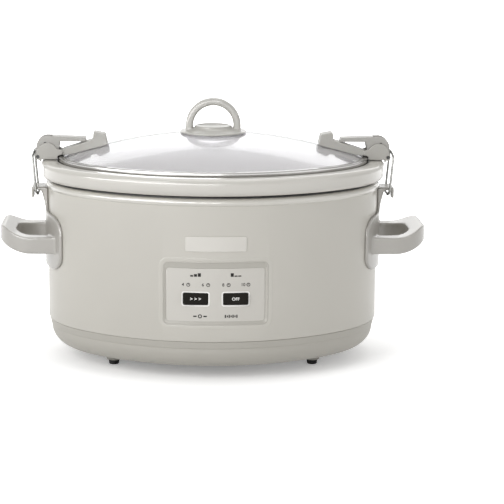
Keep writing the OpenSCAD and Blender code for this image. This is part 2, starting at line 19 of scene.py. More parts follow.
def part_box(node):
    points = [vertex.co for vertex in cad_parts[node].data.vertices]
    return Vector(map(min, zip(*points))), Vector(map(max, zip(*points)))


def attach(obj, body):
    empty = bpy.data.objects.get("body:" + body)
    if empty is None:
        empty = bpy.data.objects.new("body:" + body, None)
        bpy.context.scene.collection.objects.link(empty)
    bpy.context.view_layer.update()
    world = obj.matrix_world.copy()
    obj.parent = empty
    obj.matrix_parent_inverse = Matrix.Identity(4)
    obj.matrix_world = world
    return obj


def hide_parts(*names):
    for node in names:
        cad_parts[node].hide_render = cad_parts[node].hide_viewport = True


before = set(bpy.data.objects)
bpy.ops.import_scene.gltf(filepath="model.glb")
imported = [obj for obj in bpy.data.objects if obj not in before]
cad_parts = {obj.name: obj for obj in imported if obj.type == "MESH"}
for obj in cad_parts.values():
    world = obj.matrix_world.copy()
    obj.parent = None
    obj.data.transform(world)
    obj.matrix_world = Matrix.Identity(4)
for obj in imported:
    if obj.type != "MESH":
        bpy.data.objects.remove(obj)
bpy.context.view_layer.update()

logging.basicConfig(level=logging.INFO, format="%(message)s")
LOG = logging.getLogger("slow_cooker")

MM = 0.001
Point = tuple[float, float]
Place = tuple[float, float, float]
# Distances within which points are joined: in printed and bent plates, in made pieces, in CAD meshes.
FINE_WELD, WELD, CAD_WELD = 1e-6, 2e-6, 3e-6
# Spacing of the upright cuts that let a flat plate bend to the wall.
STRIP_MM = 2.0
# Printed figures: type size for a height of 1, how far each stroke is widened, half the ink's thickness.
SIZE_PER_HEIGHT, BOLDER_MM, INK_MM = 1.42, 0.08, 0.02
STAND_UP = Matrix.Rotation(math.radians(90), 4, "X")


def linear(hex_colour: str) -> tuple[float, float, float, float]:
    """Turns an sRGB hex colour into linear light.

    Args:
        hex_colour: Six hex digits, with or without a leading #.

    Returns:
        Linear red, green and blue, and an alpha of 1.
    """
    digits = hex_colour.lstrip("#")
    values = [int(digits[i:i + 2], 16) / 255 for i in (0, 2, 4)]
    light = [v / 12.92 if v <= 0.04045 else ((v + 0.055) / 1.055) ** 2.4 for v in values]
    return (light[0], light[1], light[2], 1.0)


def add_node(tree: NodeTree, kind: str, settings: dict[str, Any] | None = None,
             links: dict[Any, Any] | None = None) -> Node:
    """Adds a node to a shader or geometry tree.

    Args:
        tree: The tree that gets the node.
        kind: The node's type name.
        settings: Properties by name, and values of input sockets by name or index.
        links: Output sockets by the name or index of the input that they feed.

    Returns:
        The new node.
    """
    node = tree.nodes.new(kind)
    for key, value in (settings or {}).items():
        if isinstance(key, str) and hasattr(node, key):
            setattr(node, key, value)
        else:
            node.inputs[key].default_value = value
    for key, socket in (links or {}).items():
        tree.links.new(socket, node.inputs[key])
    return node


class Texture(Enum):
    """How a surface was made, which sets its relief."""

    PEEL = "sprayed coat with a slight orange peel"
    GLAZE = "fired glaze with fine specks"
    SPARK = "moulded against a spark-eroded tool"
    BRUSHED = "brushed along the part"
    DRAWN = "drawn through a die"
    FELT = "felted fibres"
    CLEAR = "fire-polished glass"


@dataclass(frozen=True)
class Finish:
    """A finish: what it is made of, and how its surface was made.

    Attributes:
        name: The material's name.
        colour: sRGB hex colour of the surface.
        second: sRGB hex colour that it drifts towards in patches.
        texture: How the surface was made.
        grain_mm: Real size of the relief.
        relief_mm: Depth of the relief.
        rough: Typical roughness, and how far it varies.
        metallic: 1 for bare metal.
        coat: Weight of a clear coat.
        patch_mm: Size of the patches of the second colour.
        shine: Level of the surface's own reflection.
    """

    name: str
    colour: str
    second: str
    texture: Texture
    grain_mm: float
    relief_mm: float
    rough: tuple[float, float]
    metallic: float = 0.0
    coat: float = 0.0
    patch_mm: float = 60.0
    shine: float = 0.5

    def build(self) -> Material:
        """Builds the node material once, and gives it again when asked again."""
        found = bpy.data.materials.get(self.name)
        return found if found else self._make()

    def _stretch(self) -> tuple[float, float, float]:
        """Gives the relief's stretch along x, y and z."""
        if self.texture is Texture.BRUSHED:
            return (0.04, 0.04, 1.0)
        if self.texture is Texture.DRAWN:
            return (1.0, 1.0, 0.03)
        return (1.0, 1.0, 1.0)

    def _make(self) -> Material:
        """Makes the node tree: patches of colour, relief, and roughness that follows the relief."""
        material = bpy.data.materials.new(self.name)
        material.use_nodes = True
        tree = material.node_tree
        shader = tree.nodes["Principled BSDF"]
        for name, value in {"Metallic": self.metallic, "Coat Weight": self.coat, "Coat Roughness": 0.06,
                            "Coat IOR": 1.6, "Specular IOR Level": self.shine}.items():
            shader.inputs[name].default_value = value
        place = add_node(tree, "ShaderNodeTexCoord").outputs["Object"]
        stretched = add_node(tree, "ShaderNodeMapping", {"Scale": self._stretch()},
                             {"Vector": place}).outputs["Vector"]
        relief = add_node(tree, "ShaderNodeTexNoise",
                          {"Scale": 1000 / self.grain_mm, "Detail": 3.0, "Roughness": 0.55},
                          {"Vector": stretched}).outputs["Fac"]
        patches = add_node(tree, "ShaderNodeTexNoise",
                           {"Scale": 1000 / self.patch_mm, "Detail": 2.0},
                           {"Vector": place}).outputs["Fac"]
        blend = add_node(tree, "ShaderNodeMix",
                         {"data_type": "RGBA", 6: linear(self.colour), 7: linear(self.second)},
                         {0: patches}).outputs[2]
        if self.texture is Texture.GLAZE:
            blend = self._specks(tree, place, blend)
        tree.links.new(blend, shader.inputs["Base Color"])
        spread = add_node(tree, "ShaderNodeMapRange",
                          {"To Min": self.rough[0] - self.rough[1], "To Max": self.rough[0] + self.rough[1]},
                          {"Value": relief}).outputs["Result"]
        tree.links.new(spread, shader.inputs["Roughness"])
        bump = add_node(tree, "ShaderNodeBump", {"Strength": 0.5, "Distance": self.relief_mm * MM},
                        {"Height": relief}).outputs["Normal"]
        tree.links.new(bump, shader.inputs["Normal"])
        if self.texture is Texture.CLEAR:
            self._let_lamps_through(tree, shader)
        return material

    def _specks(self, tree: NodeTree, place: NodeSocket,
                base: NodeSocket) -> NodeSocket:
        """Strews sparse iron specks, about half a millimetre across, through the glaze.

        Args:
            tree: The material's tree.
            place: Object coordinates.
            base: The glaze's colour so far.

        Returns:
            The colour with the specks in it.
        """
        cells = add_node(tree, "ShaderNodeTexVoronoi", {"Scale": 1000 / 5.0, "Randomness": 1.0},
                         {"Vector": place})
        speck = add_node(tree, "ShaderNodeMapRange",
                         {"From Min": 0.04, "From Max": 0.09, "To Min": 0.35, "To Max": 0.0},
                         {"Value": cells.outputs["Distance"]}).outputs["Result"]
        return add_node(tree, "ShaderNodeMix", {"data_type": "RGBA", 7: linear("A79F90")},
                        {0: speck, 6: base}).outputs[2]

    def _let_lamps_through(self, tree: NodeTree, shader: Node) -> None:
        """Makes the shader clear glass, and lets lamps light what is behind it.

        Args:
            tree: The material's tree.
            shader: Its main shader.
        """
        shader.inputs["Transmission Weight"].default_value = 0.92
        shader.inputs["IOR"].default_value = 1.5
        shadow = add_node(tree, "ShaderNodeLightPath").outputs["Is Shadow Ray"]
        clear = add_node(tree, "ShaderNodeBsdfTransparent", {"Color": linear("F0F2F2")}).outputs[0]
        both = add_node(tree, "ShaderNodeMixShader", {},
                        {0: shadow, 1: shader.outputs[0], 2: clear}).outputs[0]
        tree.links.new(both, tree.nodes["Material Output"].inputs["Surface"])


# Enamelled sheet steel: sprayed and stoved, so it is satin with a slight orange peel.
WALL_ENAMEL = Finish("stoved_enamel", "C8C5BD", "C4C1B9", Texture.PEEL, 1.6, 0.02, (0.5, 0.04), coat=0.3,
                     shine=0.2)
# The same enamel on the rolled bead, polished by the rolls, and a shade lighter than the wall as painted
# highlight.
BEAD_ENAMEL_LIGHTENED = Finish("stoved_enamel_bead_lightened", "CBC8C0", "C7C4BC", Texture.PEEL, 1.6, 0.01, (0.3, 0.04), coat=1.0)
# Polypropylene tray: moulded, a little darker and duller than the wall above it.
TRAY_MOULDING = Finish("moulded_polypropylene", "B4B1A9", "AFACA4", Texture.SPARK, 0.7, 0.03, (0.5, 0.05))
# Phenolic handles: moulded, satin, with a fine tool texture, a shade darker than the lid's handle as painted
# shade.
HANDLE_MOULDING = Finish("moulded_phenolic", "A8A59F", "A3A09A", Texture.SPARK, 0.6, 0.01, (0.4, 0.05),
                         coat=0.5)
# The lid's handle in the same moulding, a shade lighter: painted light on the lid's top.
KNOB_MOULDING_LIT = Finish("moulded_phenolic_painted_light", "B4B2AC", "AFADA7", Texture.SPARK, 0.6, 0.01, (0.38, 0.05),
                       coat=0.5)
# ABS frame round the panel: moulded, a shade darker than the wall, which is painted shade of its recess.
FRAME_MOULDING_SHADED = Finish("moulded_abs_frame_shaded", "B6B3AB", "B1AEA6", Texture.SPARK, 0.6, 0.02, (0.45, 0.05))
# Printed polycarbonate film: smooth and faintly glossy.
PANEL_FILM = Finish("polycarbonate_film", "CAC7C0", "C6C3BC", Texture.PEEL, 0.4, 0.004, (0.34, 0.03))
# Satin black ABS key caps.
KEY_CAP = Finish("black_abs_key", "14120E", "181611", Texture.SPARK, 0.5, 0.01, (0.4, 0.05), shine=0.08)
# Glazed stoneware: thick fired glaze, glossy, with fine specks and gentle pooling.
STONEWARE_GLAZE = Finish("glazed_stoneware", "CAC7C0", "C4C1BA", Texture.GLAZE, 9.0, 0.06, (0.2, 0.03),
                         coat=0.3, patch_mm=35.0)
# The crock's white inner glaze, greyed down from white as painted shade under the lid.
INNER_GLAZE_GREYED = Finish("inner_glaze_greyed", "D2D0CE", "CCCAC8", Texture.GLAZE, 9.0, 0.05, (0.2, 0.03), coat=0.3,
                     patch_mm=35.0)
# Tempered soda-lime glass: clear, faintly grey-green through its thickness.
LID_GLASS = Finish("tempered_glass", "FBFAFC", "F8F7FA", Texture.CLEAR, 60.0, 0.002, (0.1, 0.01))
# Polished stainless band, with fine lines along it, darker than bare stainless: a painted reflection of
# darker surroundings.
BAND_STEEL = Finish("polished_stainless", "A7A6A4", "9D9C9A", Texture.BRUSHED, 0.5, 0.004, (0.16, 0.05),
                    metallic=1.0, patch_mm=25.0)
# Silicone seal: translucent grey, matt.
SEAL_SILICONE = Finish("moulded_silicone", "BEBDBB", "B6B5B3", Texture.SPARK, 0.4, 0.01, (0.6, 0.05))
# Glass-filled nylon latch bases: moulded, satin.
LATCH_MOULDING = Finish("moulded_nylon", "ABA9A3", "A6A49E", Texture.SPARK, 0.5, 0.02, (0.42, 0.05))
# Levers in the same nylon, a touch darker than the bases: painted shade under their slabs.
LEVER_MOULDING_SHADED = Finish("moulded_nylon_lever_shaded", "A6A49F", "A19F9A", Texture.SPARK, 0.5, 0.02, (0.4, 0.05))
# Drawn stainless wire: fine die lines along it, its colour darker than bare stainless as a painted reflection
# of darker surroundings.
BAIL_WIRE = Finish("drawn_stainless_wire", "878784", "767673", Texture.DRAWN, 0.3, 0.006, (0.34, 0.06),
                   metallic=1.0, patch_mm=6.0)
# Blackened steel pins, and the black caps on the wire's eyes, which are painted shade in the eye holes.
PIN_AND_EYE_SHADE_BLACK = Finish("blackened_steel_and_eye_shade", "121212", "171716", Texture.PEEL, 0.4, 0.004, (0.4, 0.05), patch_mm=4.0)
# Soft pads under the latch arms: moulded, nearly black, so the glass under the arms reflects them dark as
# painted shade.
PAD_RUBBER_SHADE = Finish("black_pad_rubber_shade", "2A2928", "333230", Texture.SPARK, 0.4, 0.01, (0.6, 0.05))
# Rubber feet: moulded, dull black.
FOOT_RUBBER = Finish("moulded_rubber", "141414", "1B1B1A", Texture.SPARK, 0.5, 0.03, (0.6, 0.05), shine=0.2)
# Pressed pan, stoved with dark heat-proof enamel, dark so the gap under the crock's rim reads black: painted
# shade.
PAN_ENAMEL_GAP_SHADE = Finish("heat_proof_enamel_gap_shade", "1A1A1A", "222221", Texture.PEEL, 1.2, 0.02, (0.5, 0.06),
                    patch_mm=30.0)
# Mica band of the heater: layered flakes, brown.
HEATER_MICA = Finish("mica_sheet", "9A8464", "7F6A4E", Texture.SPARK, 3.0, 0.05, (0.45, 0.1), patch_mm=5.0)
# Needled glass-fibre blanket.
FIBRE_BLANKET = Finish("glass_fibre_felt", "E4DFD2", "D3CCBB", Texture.FELT, 1.2, 0.5, (0.9, 0.05),
                       patch_mm=8.0)
# Solder mask over copper tracks.
BOARD_MASK = Finish("solder_mask", "1F5A34", "2C6E44", Texture.PEEL, 0.8, 0.02, (0.35, 0.05), patch_mm=2.5)
# Zinc-plated steel fasteners.
SCREW_ZINC = Finish("zinc_plated_steel", "C8C8C6", "B2B2AE", Texture.PEEL, 0.5, 0.006, (0.3, 0.06),
                    metallic=1.0, patch_mm=4.0)
# Amber lamp resin.
LAMP_RESIN = Finish("amber_resin", "D98A3A", "C97A2E", Texture.PEEL, 0.6, 0.002, (0.15, 0.02), coat=0.5)
# Near-black screen-printing ink on the film.
DARK_INK = Finish("screen_ink_grey", "1D1B18", "23211E", Texture.PEEL, 0.3, 0.002, (0.5, 0.05), shine=0.2)
# White ink on the keys and round them.
WHITE_INK = Finish("screen_ink_white", "F4F3F0", "EFEEEA", Texture.PEEL, 0.3, 0.002, (0.45, 0.05))
# Blank label plate: satin anodised aluminium, paler than the wall.
LABEL_PLATE = Finish("satin_label_plate", "D1CEC7", "CDCAC3", Texture.BRUSHED, 0.5, 0.004, (0.34, 0.05),
                     coat=0.2)

CAD_FINISH: dict[str, Finish] = {node: finish for finish, nodes in (
    (WALL_ENAMEL, "housing_wrap"), (TRAY_MOULDING, "base_pan"),
    (FOOT_RUBBER, "rubber_feet cord_gland lid_handle_washer"), (PAD_RUBBER_SHADE, "latch_pads"),
    (SCREW_ZINC, "base_screws pan_bolt pan_nut thermal_fuse handle_screws lid_handle_screw latch_screws"),
    (PAN_ENAMEL_GAP_SHADE, "heating_pan"), (HEATER_MICA, "heater_band"), (FIBRE_BLANKET, "insulation_wrap"),
    (FRAME_MOULDING_SHADED, "control_bezel"), (PANEL_FILM, "control_panel"),
    (BOARD_MASK, "control_board power_board"),
    (KEY_CAP, "tact_switches button_select button_off"), (LAMP_RESIN, "indicator_leds"),
    (HANDLE_MOULDING, "handle_left handle_right"), (STONEWARE_GLAZE, "crock"), (LID_GLASS, "lid_glass"),
    (BAND_STEEL, "lid_rim"), (SEAL_SILICONE, "lid_gasket"), (KNOB_MOULDING_LIT, "lid_handle"),
    (LATCH_MOULDING, "latch_base_left latch_base_right"), (PIN_AND_EYE_SHADE_BLACK, "lever_pins"),
    (LEVER_MOULDING_SHADED, "latch_lever_left latch_lever_right"), (BAIL_WIRE, "latch_bail_left latch_bail_right"),
) for node in nodes.split()}


def arc(x: float, y: float, r: float, start: float, stop: float, steps: int = 8) -> list[Point]:
    """Gives points along an arc, in degrees, counted from +x towards +y."""
    angles = [math.radians(start + (stop - start) * i / steps) for i in range(steps + 1)]
    return [(x + r * math.cos(a), y + r * math.sin(a)) for a in angles]


def round_corners(points: Sequence[Point], radius: float, steps: int = 4) -> list[Point]:
    """Rounds the corners of a closed outline, by less where an edge is short.

    Args:
        points: The outline's corners, in order.
        radius: How far along each edge a corner's curve starts.
        steps: Steps round each corner.

    Returns:
        The rounded outline.
    """
    result: list[Point] = []
    count = len(points)
    for i, here in enumerate(points):
        p, q, r = Vector(points[i - 1]), Vector(here), Vector(points[(i + 1) % count])
        cut = min(radius, (p - q).length * 0.45, (r - q).length * 0.45)
        a, b = q + (p - q).normalized() * cut, q + (r - q).normalized() * cut
        for k in range(steps + 1):
            t = k / steps
            v = a * (1 - t) ** 2 + q * 2 * t * (1 - t) + b * t * t
            result.append((v.x, v.y))
    return result


def middle_z_mm(node: str) -> float:
    """Gives the height of a CAD node's middle."""
    low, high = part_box(node)
    return (low.z + high.z) / 2 / MM


def object_from(name: str, data: Any) -> Object:
    """Puts a mesh, a curve, a lamp or a camera into the scene as an object at the origin."""
    piece = bpy.data.objects.new(name, data)
    bpy.context.scene.collection.objects.link(piece)
    return piece


def mesh_from(name: str, points: Iterable[Sequence[float]], edges: Iterable[Sequence[int]] = (),
              faces: Iterable[Sequence[int]] = ()) -> Mesh:
    """Makes a mesh from points in metres, edges and faces.

    Args:
        name: The mesh's name.
        points: Its points.
        edges: Pairs of points.
        faces: Rings of points.

    Returns:
        The mesh.
    """
    mesh = bpy.data.meshes.new(name)
    mesh.from_pydata([tuple(p) for p in points], list(edges), list(faces))
    return mesh


def mesh_of(shell: bmesh.types.BMesh, mesh: Mesh) -> Mesh:
    """Writes an edited shell into a mesh, and frees the shell."""
    shell.to_mesh(mesh)
    shell.free()
    return mesh


def plain_mesh(piece: Object) -> Mesh:
    """Gives an object's shape, with its modifiers applied, as a plain mesh."""
    graph = bpy.context.evaluated_depsgraph_get()
    return bpy.data.meshes.new_from_object(piece.evaluated_get(graph), depsgraph=graph)


def mesh_of_curve(name: str, curve: Curve) -> Mesh:
    """Turns a curve or a text into a plain mesh."""
    source = object_from(name, curve)
    mesh = plain_mesh(source)
    bpy.data.objects.remove(source)
    return mesh


def outline_object(name: str, points_mm: Sequence[Point]) -> Object:
    """Makes a hidden object whose vertices are an outline's points, for a tree to sample.

    Args:
        name: The object's name.
        points_mm: The outline's points.

    Returns:
        The object, which isn't part of the cooker.
    """
    piece = object_from(name, mesh_from(name, [(x * MM, y * MM, 0.0) for x, y in points_mm]))
    piece.hide_render = True
    return piece


def baked(piece: Object, smooth_deg: float = 40.0, fill: bool = False) -> Object:
    """Turns an object's modifiers into a plain mesh that faces outwards.

    Args:
        piece: The object with live modifiers.
        smooth_deg: Edges sharper than this stay sharp.
        fill: Whether open ends are closed with flat faces.

    Returns:
        The same object, with a plain mesh and no modifiers.
    """
    bpy.context.view_layer.update()
    mesh = plain_mesh(piece)
    piece.modifiers.clear()
    shell = bmesh.new()
    shell.from_mesh(mesh)
    bmesh.ops.remove_doubles(shell, verts=shell.verts, dist=WELD)
    if fill:
        bmesh.ops.holes_fill(shell, edges=[e for e in shell.edges if e.is_boundary], sides=0)
    bmesh.ops.recalc_face_normals(shell, faces=shell.faces)
    if shell.calc_volume(signed=True) < 0:
        bmesh.ops.reverse_faces(shell, faces=shell.faces)
    piece.data = mesh_of(shell, mesh)
    mesh.shade_smooth()
    mesh.set_sharp_from_angle(angle=math.radians(smooth_deg))
    return piece


def carve(piece: Object, cutter: Object, smooth_deg: float = 35.0) -> None:
    """Takes a cutter's shape out of a piece, and uses the cutter up.

    Args:
        piece: The piece that is cut.
        cutter: A closed mesh object.
        smooth_deg: Edges sharper than this stay sharp.
    """
    cut = piece.modifiers.new("cut", "BOOLEAN")
    cut.object = cutter
    cut.operation = "DIFFERENCE"
    cut.solver = "EXACT"
    baked(piece, smooth_deg)
    bpy.data.objects.remove(cutter)


def hand_over(piece: Object, body: str, finish: Finish, slot: str, *nodes: str) -> Object:
    """Dresses a finished piece, hangs it under its body's empty, and hides the CAD nodes that it stands for.

    Args:
        piece: The piece, with its place in its mesh.
        body: The CAD body that it rides on.
        finish: Its finish.
        slot: Not used.
        nodes: CAD nodes that it stands for.

    Returns:
        The same piece.
    """
    piece.data.materials.clear()
    piece.data.materials.append(finish.build())
    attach(piece, body)
    if nodes:
        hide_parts(*nodes)
    LOG.info("%s: %d faces on %s", piece.name, len(piece.data.polygons), body)
    return piece


def merged_copy(node: str, name: str) -> Object:
    """Copies a CAD node and joins its loose triangles.

    Args:
        node: The CAD node.
        name: The copy's name.

    Returns:
        The copy, with no material.
    """
    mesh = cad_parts[node].data.copy()
    mesh.materials.clear()
    shell = bmesh.new()
    shell.from_mesh(mesh)
    bmesh.ops.remove_doubles(shell, verts=shell.verts, dist=CAD_WELD)
    return object_from(name, mesh_of(shell, mesh))


def mould(node: str, name: str, body: str, finish: Finish, slot: str, *, voxel_mm: float, passes: int,
          keep: float) -> None:
    """Puts a copy of a CAD node in its place, its edges rounded as a mould tool does.

    Args:
        node: The CAD node.
        name: The new piece's name.
        body: The CAD body that it rides on.
        finish: Its finish.
        slot: The record's material slot.
        voxel_mm: Size of the voxels that it is remeshed with.
        passes: How many times the surface is smoothed.
        keep: Share of the faces that stay after thinning.
    """
    piece = merged_copy(node, name)
    remesh = piece.modifiers.new("remesh", "REMESH")
    remesh.mode = "VOXEL"
    remesh.voxel_size = voxel_mm * MM
    smooth = piece.modifiers.new("smooth", "SMOOTH")
    smooth.factor = 0.5
    smooth.iterations = passes
    piece.modifiers.new("thin", "DECIMATE").ratio = keep
    hand_over(baked(piece, 60.0), body, finish, slot, node)


def set_inputs(piece: Object, tree: NodeTree, values: dict[str, Any]) -> None:
    """Adds a Geometry Nodes modifier, and sets its inputs by their sockets' identifiers.

    Args:
        piece: The object that gets the modifier.
        tree: The modifier's tree.
        values: Values by the inputs' names.
    """
    modifier = piece.modifiers.new(tree.name, "NODES")
    modifier.node_group = tree
    for item in tree.interface.items_tree:
        if item.in_out == "INPUT" and item.name in values:
            modifier[item.identifier] = values[item.name]


def new_tree(name: str, inputs: Iterable[tuple[str, str, Any]]) -> tuple[NodeTree, Node]:
    """Starts a geometry tree with named inputs.

    Args:
        name: The tree's name.
        inputs: Name, kind of socket and default of each input.

    Returns:
        The tree and its group input node.
    """
    tree = bpy.data.node_groups.new(name, "GeometryNodeTree")
    tree.interface.new_socket("Geometry", in_out="INPUT", socket_type="NodeSocketGeometry")
    for label, kind, default in inputs:
        item = tree.interface.new_socket(label, in_out="INPUT", socket_type=f"NodeSocket{kind}")
        if default is not None:
            item.default_value = default
    tree.interface.new_socket("Geometry", in_out="OUTPUT", socket_type="NodeSocketGeometry")
    return tree, add_node(tree, "NodeGroupInput")


def end_tree(tree: NodeTree, source: Node, shape: NodeSocket) -> NodeTree:
    """Ends a tree: instances are realised, and the material is set.

    Args:
        tree: The tree.
        source: Its group input.
        shape: The geometry so far.

    Returns:
        The finished tree.
    """
    real = add_node(tree, "GeometryNodeRealizeInstances", {}, {0: shape}).outputs[0]
    painted = add_node(tree, "GeometryNodeSetMaterial", {},
                       {"Geometry": real, "Material": source.outputs["Material"]}).outputs[0]
    add_node(tree, "NodeGroupOutput", {}, {0: painted})
    return tree


class Calc:
    """Short names for the math nodes of one tree."""

    def __init__(self, tree: NodeTree) -> None:
        """Keeps the tree that the nodes go into."""
        self.tree = tree

    def op(self, operation: str, *values: Any) -> NodeSocket:
        """Adds a Math node on numbers or sockets, and gives its result.

        Args:
            operation: The node's operation.
            values: Its inputs, in order.

        Returns:
            The node's output.
        """
        node = add_node(self.tree, "ShaderNodeMath", {"operation": operation})
        for i, value in enumerate(values):
            if isinstance(value, NodeSocket):
                self.tree.links.new(value, node.inputs[i])
            else:
                node.inputs[i].default_value = value
        return node.outputs[0]

    def choose(self, test: NodeSocket, yes: Any, no: Any) -> NodeSocket:
        """Gives yes where the test is 1, and no where it is 0."""
        rest = self.op("SUBTRACT", 1.0, test)
        return self.op("ADD", self.op("MULTIPLY", test, yes), self.op("MULTIPLY", rest, no))


@dataclass(frozen=True)
class Oval:
    """The four-arc oval that the wall, rims and bands follow."""

    end_centre: float = 65 * MM
    side_centre: float = 72 * MM
    end_radius: float = 106 * MM
    side_radius: float = 203 * MM

    def inputs(self) -> dict[str, float]:
        """Gives the oval's sizes by the names of a tree's inputs."""
        return {"End Centre": self.end_centre, "Side Centre": self.side_centre,
                "End Radius": self.end_radius, "Side Radius": self.side_radius}

    def sockets(self) -> list[tuple[str, str, float]]:
        """Gives the inputs that a tree needs for the oval."""
        return [(label, "Float", value) for label, value in self.inputs().items()]

    def front(self, x: float, out: float) -> float:
        """Gives y of the front wall at x, a distance out from it."""
        return self.side_centre - math.sqrt((self.side_radius + out) ** 2 - x * x)


OVAL = Oval()
LATHE = Oval(0.0, 1e-6, 0.0, 0.0)


def grid_nodes(tree: NodeTree, calc: Calc, turns: NodeSocket,
               rows: NodeSocket) -> tuple[NodeSocket, NodeSocket, NodeSocket]:
    """Adds the grid that a tree wraps round the oval.

    Args:
        tree: The tree.
        calc: Its math nodes.
        turns: Steps round the oval.
        rows: Points across it.

    Returns:
        The grid, and each point's x and y, from -0.5 to 0.5.
    """
    grid = add_node(tree, "GeometryNodeMeshGrid", {"Size X": 1.0, "Size Y": 1.0},
                    {"Vertices X": calc.op("ADD", turns, 1.0), "Vertices Y": rows}).outputs["Mesh"]
    at = add_node(tree, "ShaderNodeSeparateXYZ", {},
                  {0: add_node(tree, "GeometryNodeInputPosition").outputs[0]}).outputs
    return grid, at[0], at[1]


def oval_nodes(calc: Calc, size: Any, way: NodeSocket) -> tuple[list[Any], list[Any], Any]:
    """Adds the nodes that find the oval's arc at each point of the grid.

    Args:
        calc: The tree's math nodes.
        size: Outputs of the tree's group input.
        way: The grid's x, from -0.5 to 0.5.

    Returns:
        The arc's centre, the direction out of it, and its radius.
    """
    turn = calc.op("MULTIPLY", calc.op("ADD", way, 0.5), 2 * math.pi)
    nx, ny = calc.op("COSINE", turn), calc.op("SINE", turn)
    spread = calc.op("SQRT", calc.op("ADD", calc.op("POWER", size["End Centre"], 2.0),
                                     calc.op("POWER", size["Side Centre"], 2.0)))
    end = calc.op("LESS_THAN", calc.op("ABSOLUTE", ny), calc.op("DIVIDE", size["Side Centre"], spread))
    cx = calc.op("MULTIPLY", end, calc.op("MULTIPLY", calc.op("SIGN", nx), size["End Centre"]))
    side = calc.op("MULTIPLY", calc.op("SIGN", ny), size["Side Centre"])
    cy = calc.op("MULTIPLY", calc.op("SUBTRACT", end, 1.0), side)
    return [cx, cy], [nx, ny], calc.choose(end, size["End Radius"], size["Side Radius"])


def end_grid(tree: NodeTree, source: Node, grid: NodeSocket,
             place: Sequence[NodeSocket], gap: float) -> NodeTree:
    """Moves the grid's points to their places, joins its seam, and ends the tree.

    Args:
        tree: The tree.
        source: Its group input.
        grid: The flat grid.
        place: Each point's x, y and z.
        gap: Points closer than this are joined.

    Returns:
        The finished tree.
    """
    there = add_node(tree, "ShaderNodeCombineXYZ", {}, dict(enumerate(place))).outputs[0]
    moved = add_node(tree, "GeometryNodeSetPosition", {}, {"Geometry": grid, "Position": there}).outputs[0]
    joined = add_node(tree, "GeometryNodeMergeByDistance", {"Distance": gap}, {"Geometry": moved}).outputs[0]
    return end_tree(tree, source, joined)


def sweep_tree() -> NodeTree:
    """Builds the tree that sweeps an outline round the oval, or round a point as a lathe does."""
    found = bpy.data.node_groups.get("oval_sweep")
    if found:
        return found
    tree, source = new_tree("oval_sweep", [
        *OVAL.sockets(), ("Turns", "Int", 288), ("Outline", "Object", None),
        ("Outline Points", "Int", 8), ("Material", "Material", None)])
    size, calc = source.outputs, Calc(tree)
    rows = calc.op("ADD", size["Outline Points"], 0.0)
    grid, x, y = grid_nodes(tree, calc, size["Turns"], rows)
    row = calc.op("ROUND", calc.op("MULTIPLY", calc.op("ADD", y, 0.5), calc.op("SUBTRACT", rows, 1.0)))
    outline = add_node(tree, "GeometryNodeObjectInfo", {}, {"Object": size["Outline"]}).outputs["Geometry"]
    sample = add_node(tree, "GeometryNodeSampleIndex", {"data_type": "FLOAT_VECTOR", "domain": "POINT"},
                      {"Geometry": outline, "Value": add_node(tree, "GeometryNodeInputPosition").outputs[0],
                       "Index": row}).outputs[0]
    point = add_node(tree, "ShaderNodeSeparateXYZ", {}, {0: sample}).outputs
    centre, out, radius = oval_nodes(calc, size, x)
    reach = calc.op("ADD", radius, point[0])
    place = [calc.op("ADD", c, calc.op("MULTIPLY", n, reach)) for c, n in zip(centre, out)]
    return end_grid(tree, source, grid, [*place, point[1]], FINE_WELD)


def swept(name: str, outline_mm: Sequence[Point], finish: Finish, oval: Oval = OVAL, turns: int = 288,
          closed: bool = True, smooth_deg: float = 40.0) -> Object:
    """Sweeps an outline round an oval.

    Args:
        name: The piece's name.
        outline_mm: Points of distance out from the wall, and height.
        finish: The material that the tree sets.
        oval: The path's arcs.
        turns: Steps round the path.
        closed: Whether the outline closes on itself. If not, its ends are filled flat.
        smooth_deg: Edges sharper than this stay sharp.

    Returns:
        The plain mesh piece.
    """
    points = list(outline_mm) + ([outline_mm[0]] if closed else [])
    guide = outline_object(name + "_outline", points)
    piece = object_from(name, bpy.data.meshes.new(name))
    set_inputs(piece, sweep_tree(), {**oval.inputs(), "Turns": turns, "Outline": guide,
                                     "Outline Points": len(points), "Material": finish.build()})
    baked(piece, smooth_deg, fill=not closed)
    bpy.data.objects.remove(guide)
    return piece


def dome_tree() -> NodeTree:
    """Builds the tree of the lid's glass: an oval dome that falls by a power of the way out."""
    tree, source = new_tree("glass_dome", [
        *OVAL.sockets(), ("Crown", "Float", 0.2345), ("Rise", "Float", 0.0275), ("Power", "Float", 1.82),
        ("Thickness", "Float", 0.004), ("Turns", "Int", 192), ("Rings", "Int", 40),
        ("Material", "Material", None)])
    size, calc = source.outputs, Calc(tree)
    rows = calc.op("ADD", calc.op("MULTIPLY", size["Rings"], 2.0), 1.0)
    grid, x, y = grid_nodes(tree, calc, size["Turns"], rows)
    way = calc.op("MULTIPLY", y, 2.0)
    share = calc.op("SUBTRACT", 1.0, calc.op("ABSOLUTE", way))
    under = calc.op("GREATER_THAN", way, 0.001)
    centre, out, radius = oval_nodes(calc, size, x)
    place = [calc.op("MULTIPLY", share, calc.op("ADD", c, calc.op("MULTIPLY", n, radius)))
             for c, n in zip(centre, out)]
    fall = calc.op("MULTIPLY", size["Rise"], calc.op("POWER", share, size["Power"]))
    z = calc.op("SUBTRACT", calc.op("SUBTRACT", size["Crown"], fall),
                calc.op("MULTIPLY", under, size["Thickness"]))
    return end_grid(tree, source, grid, [*place, z], WELD)


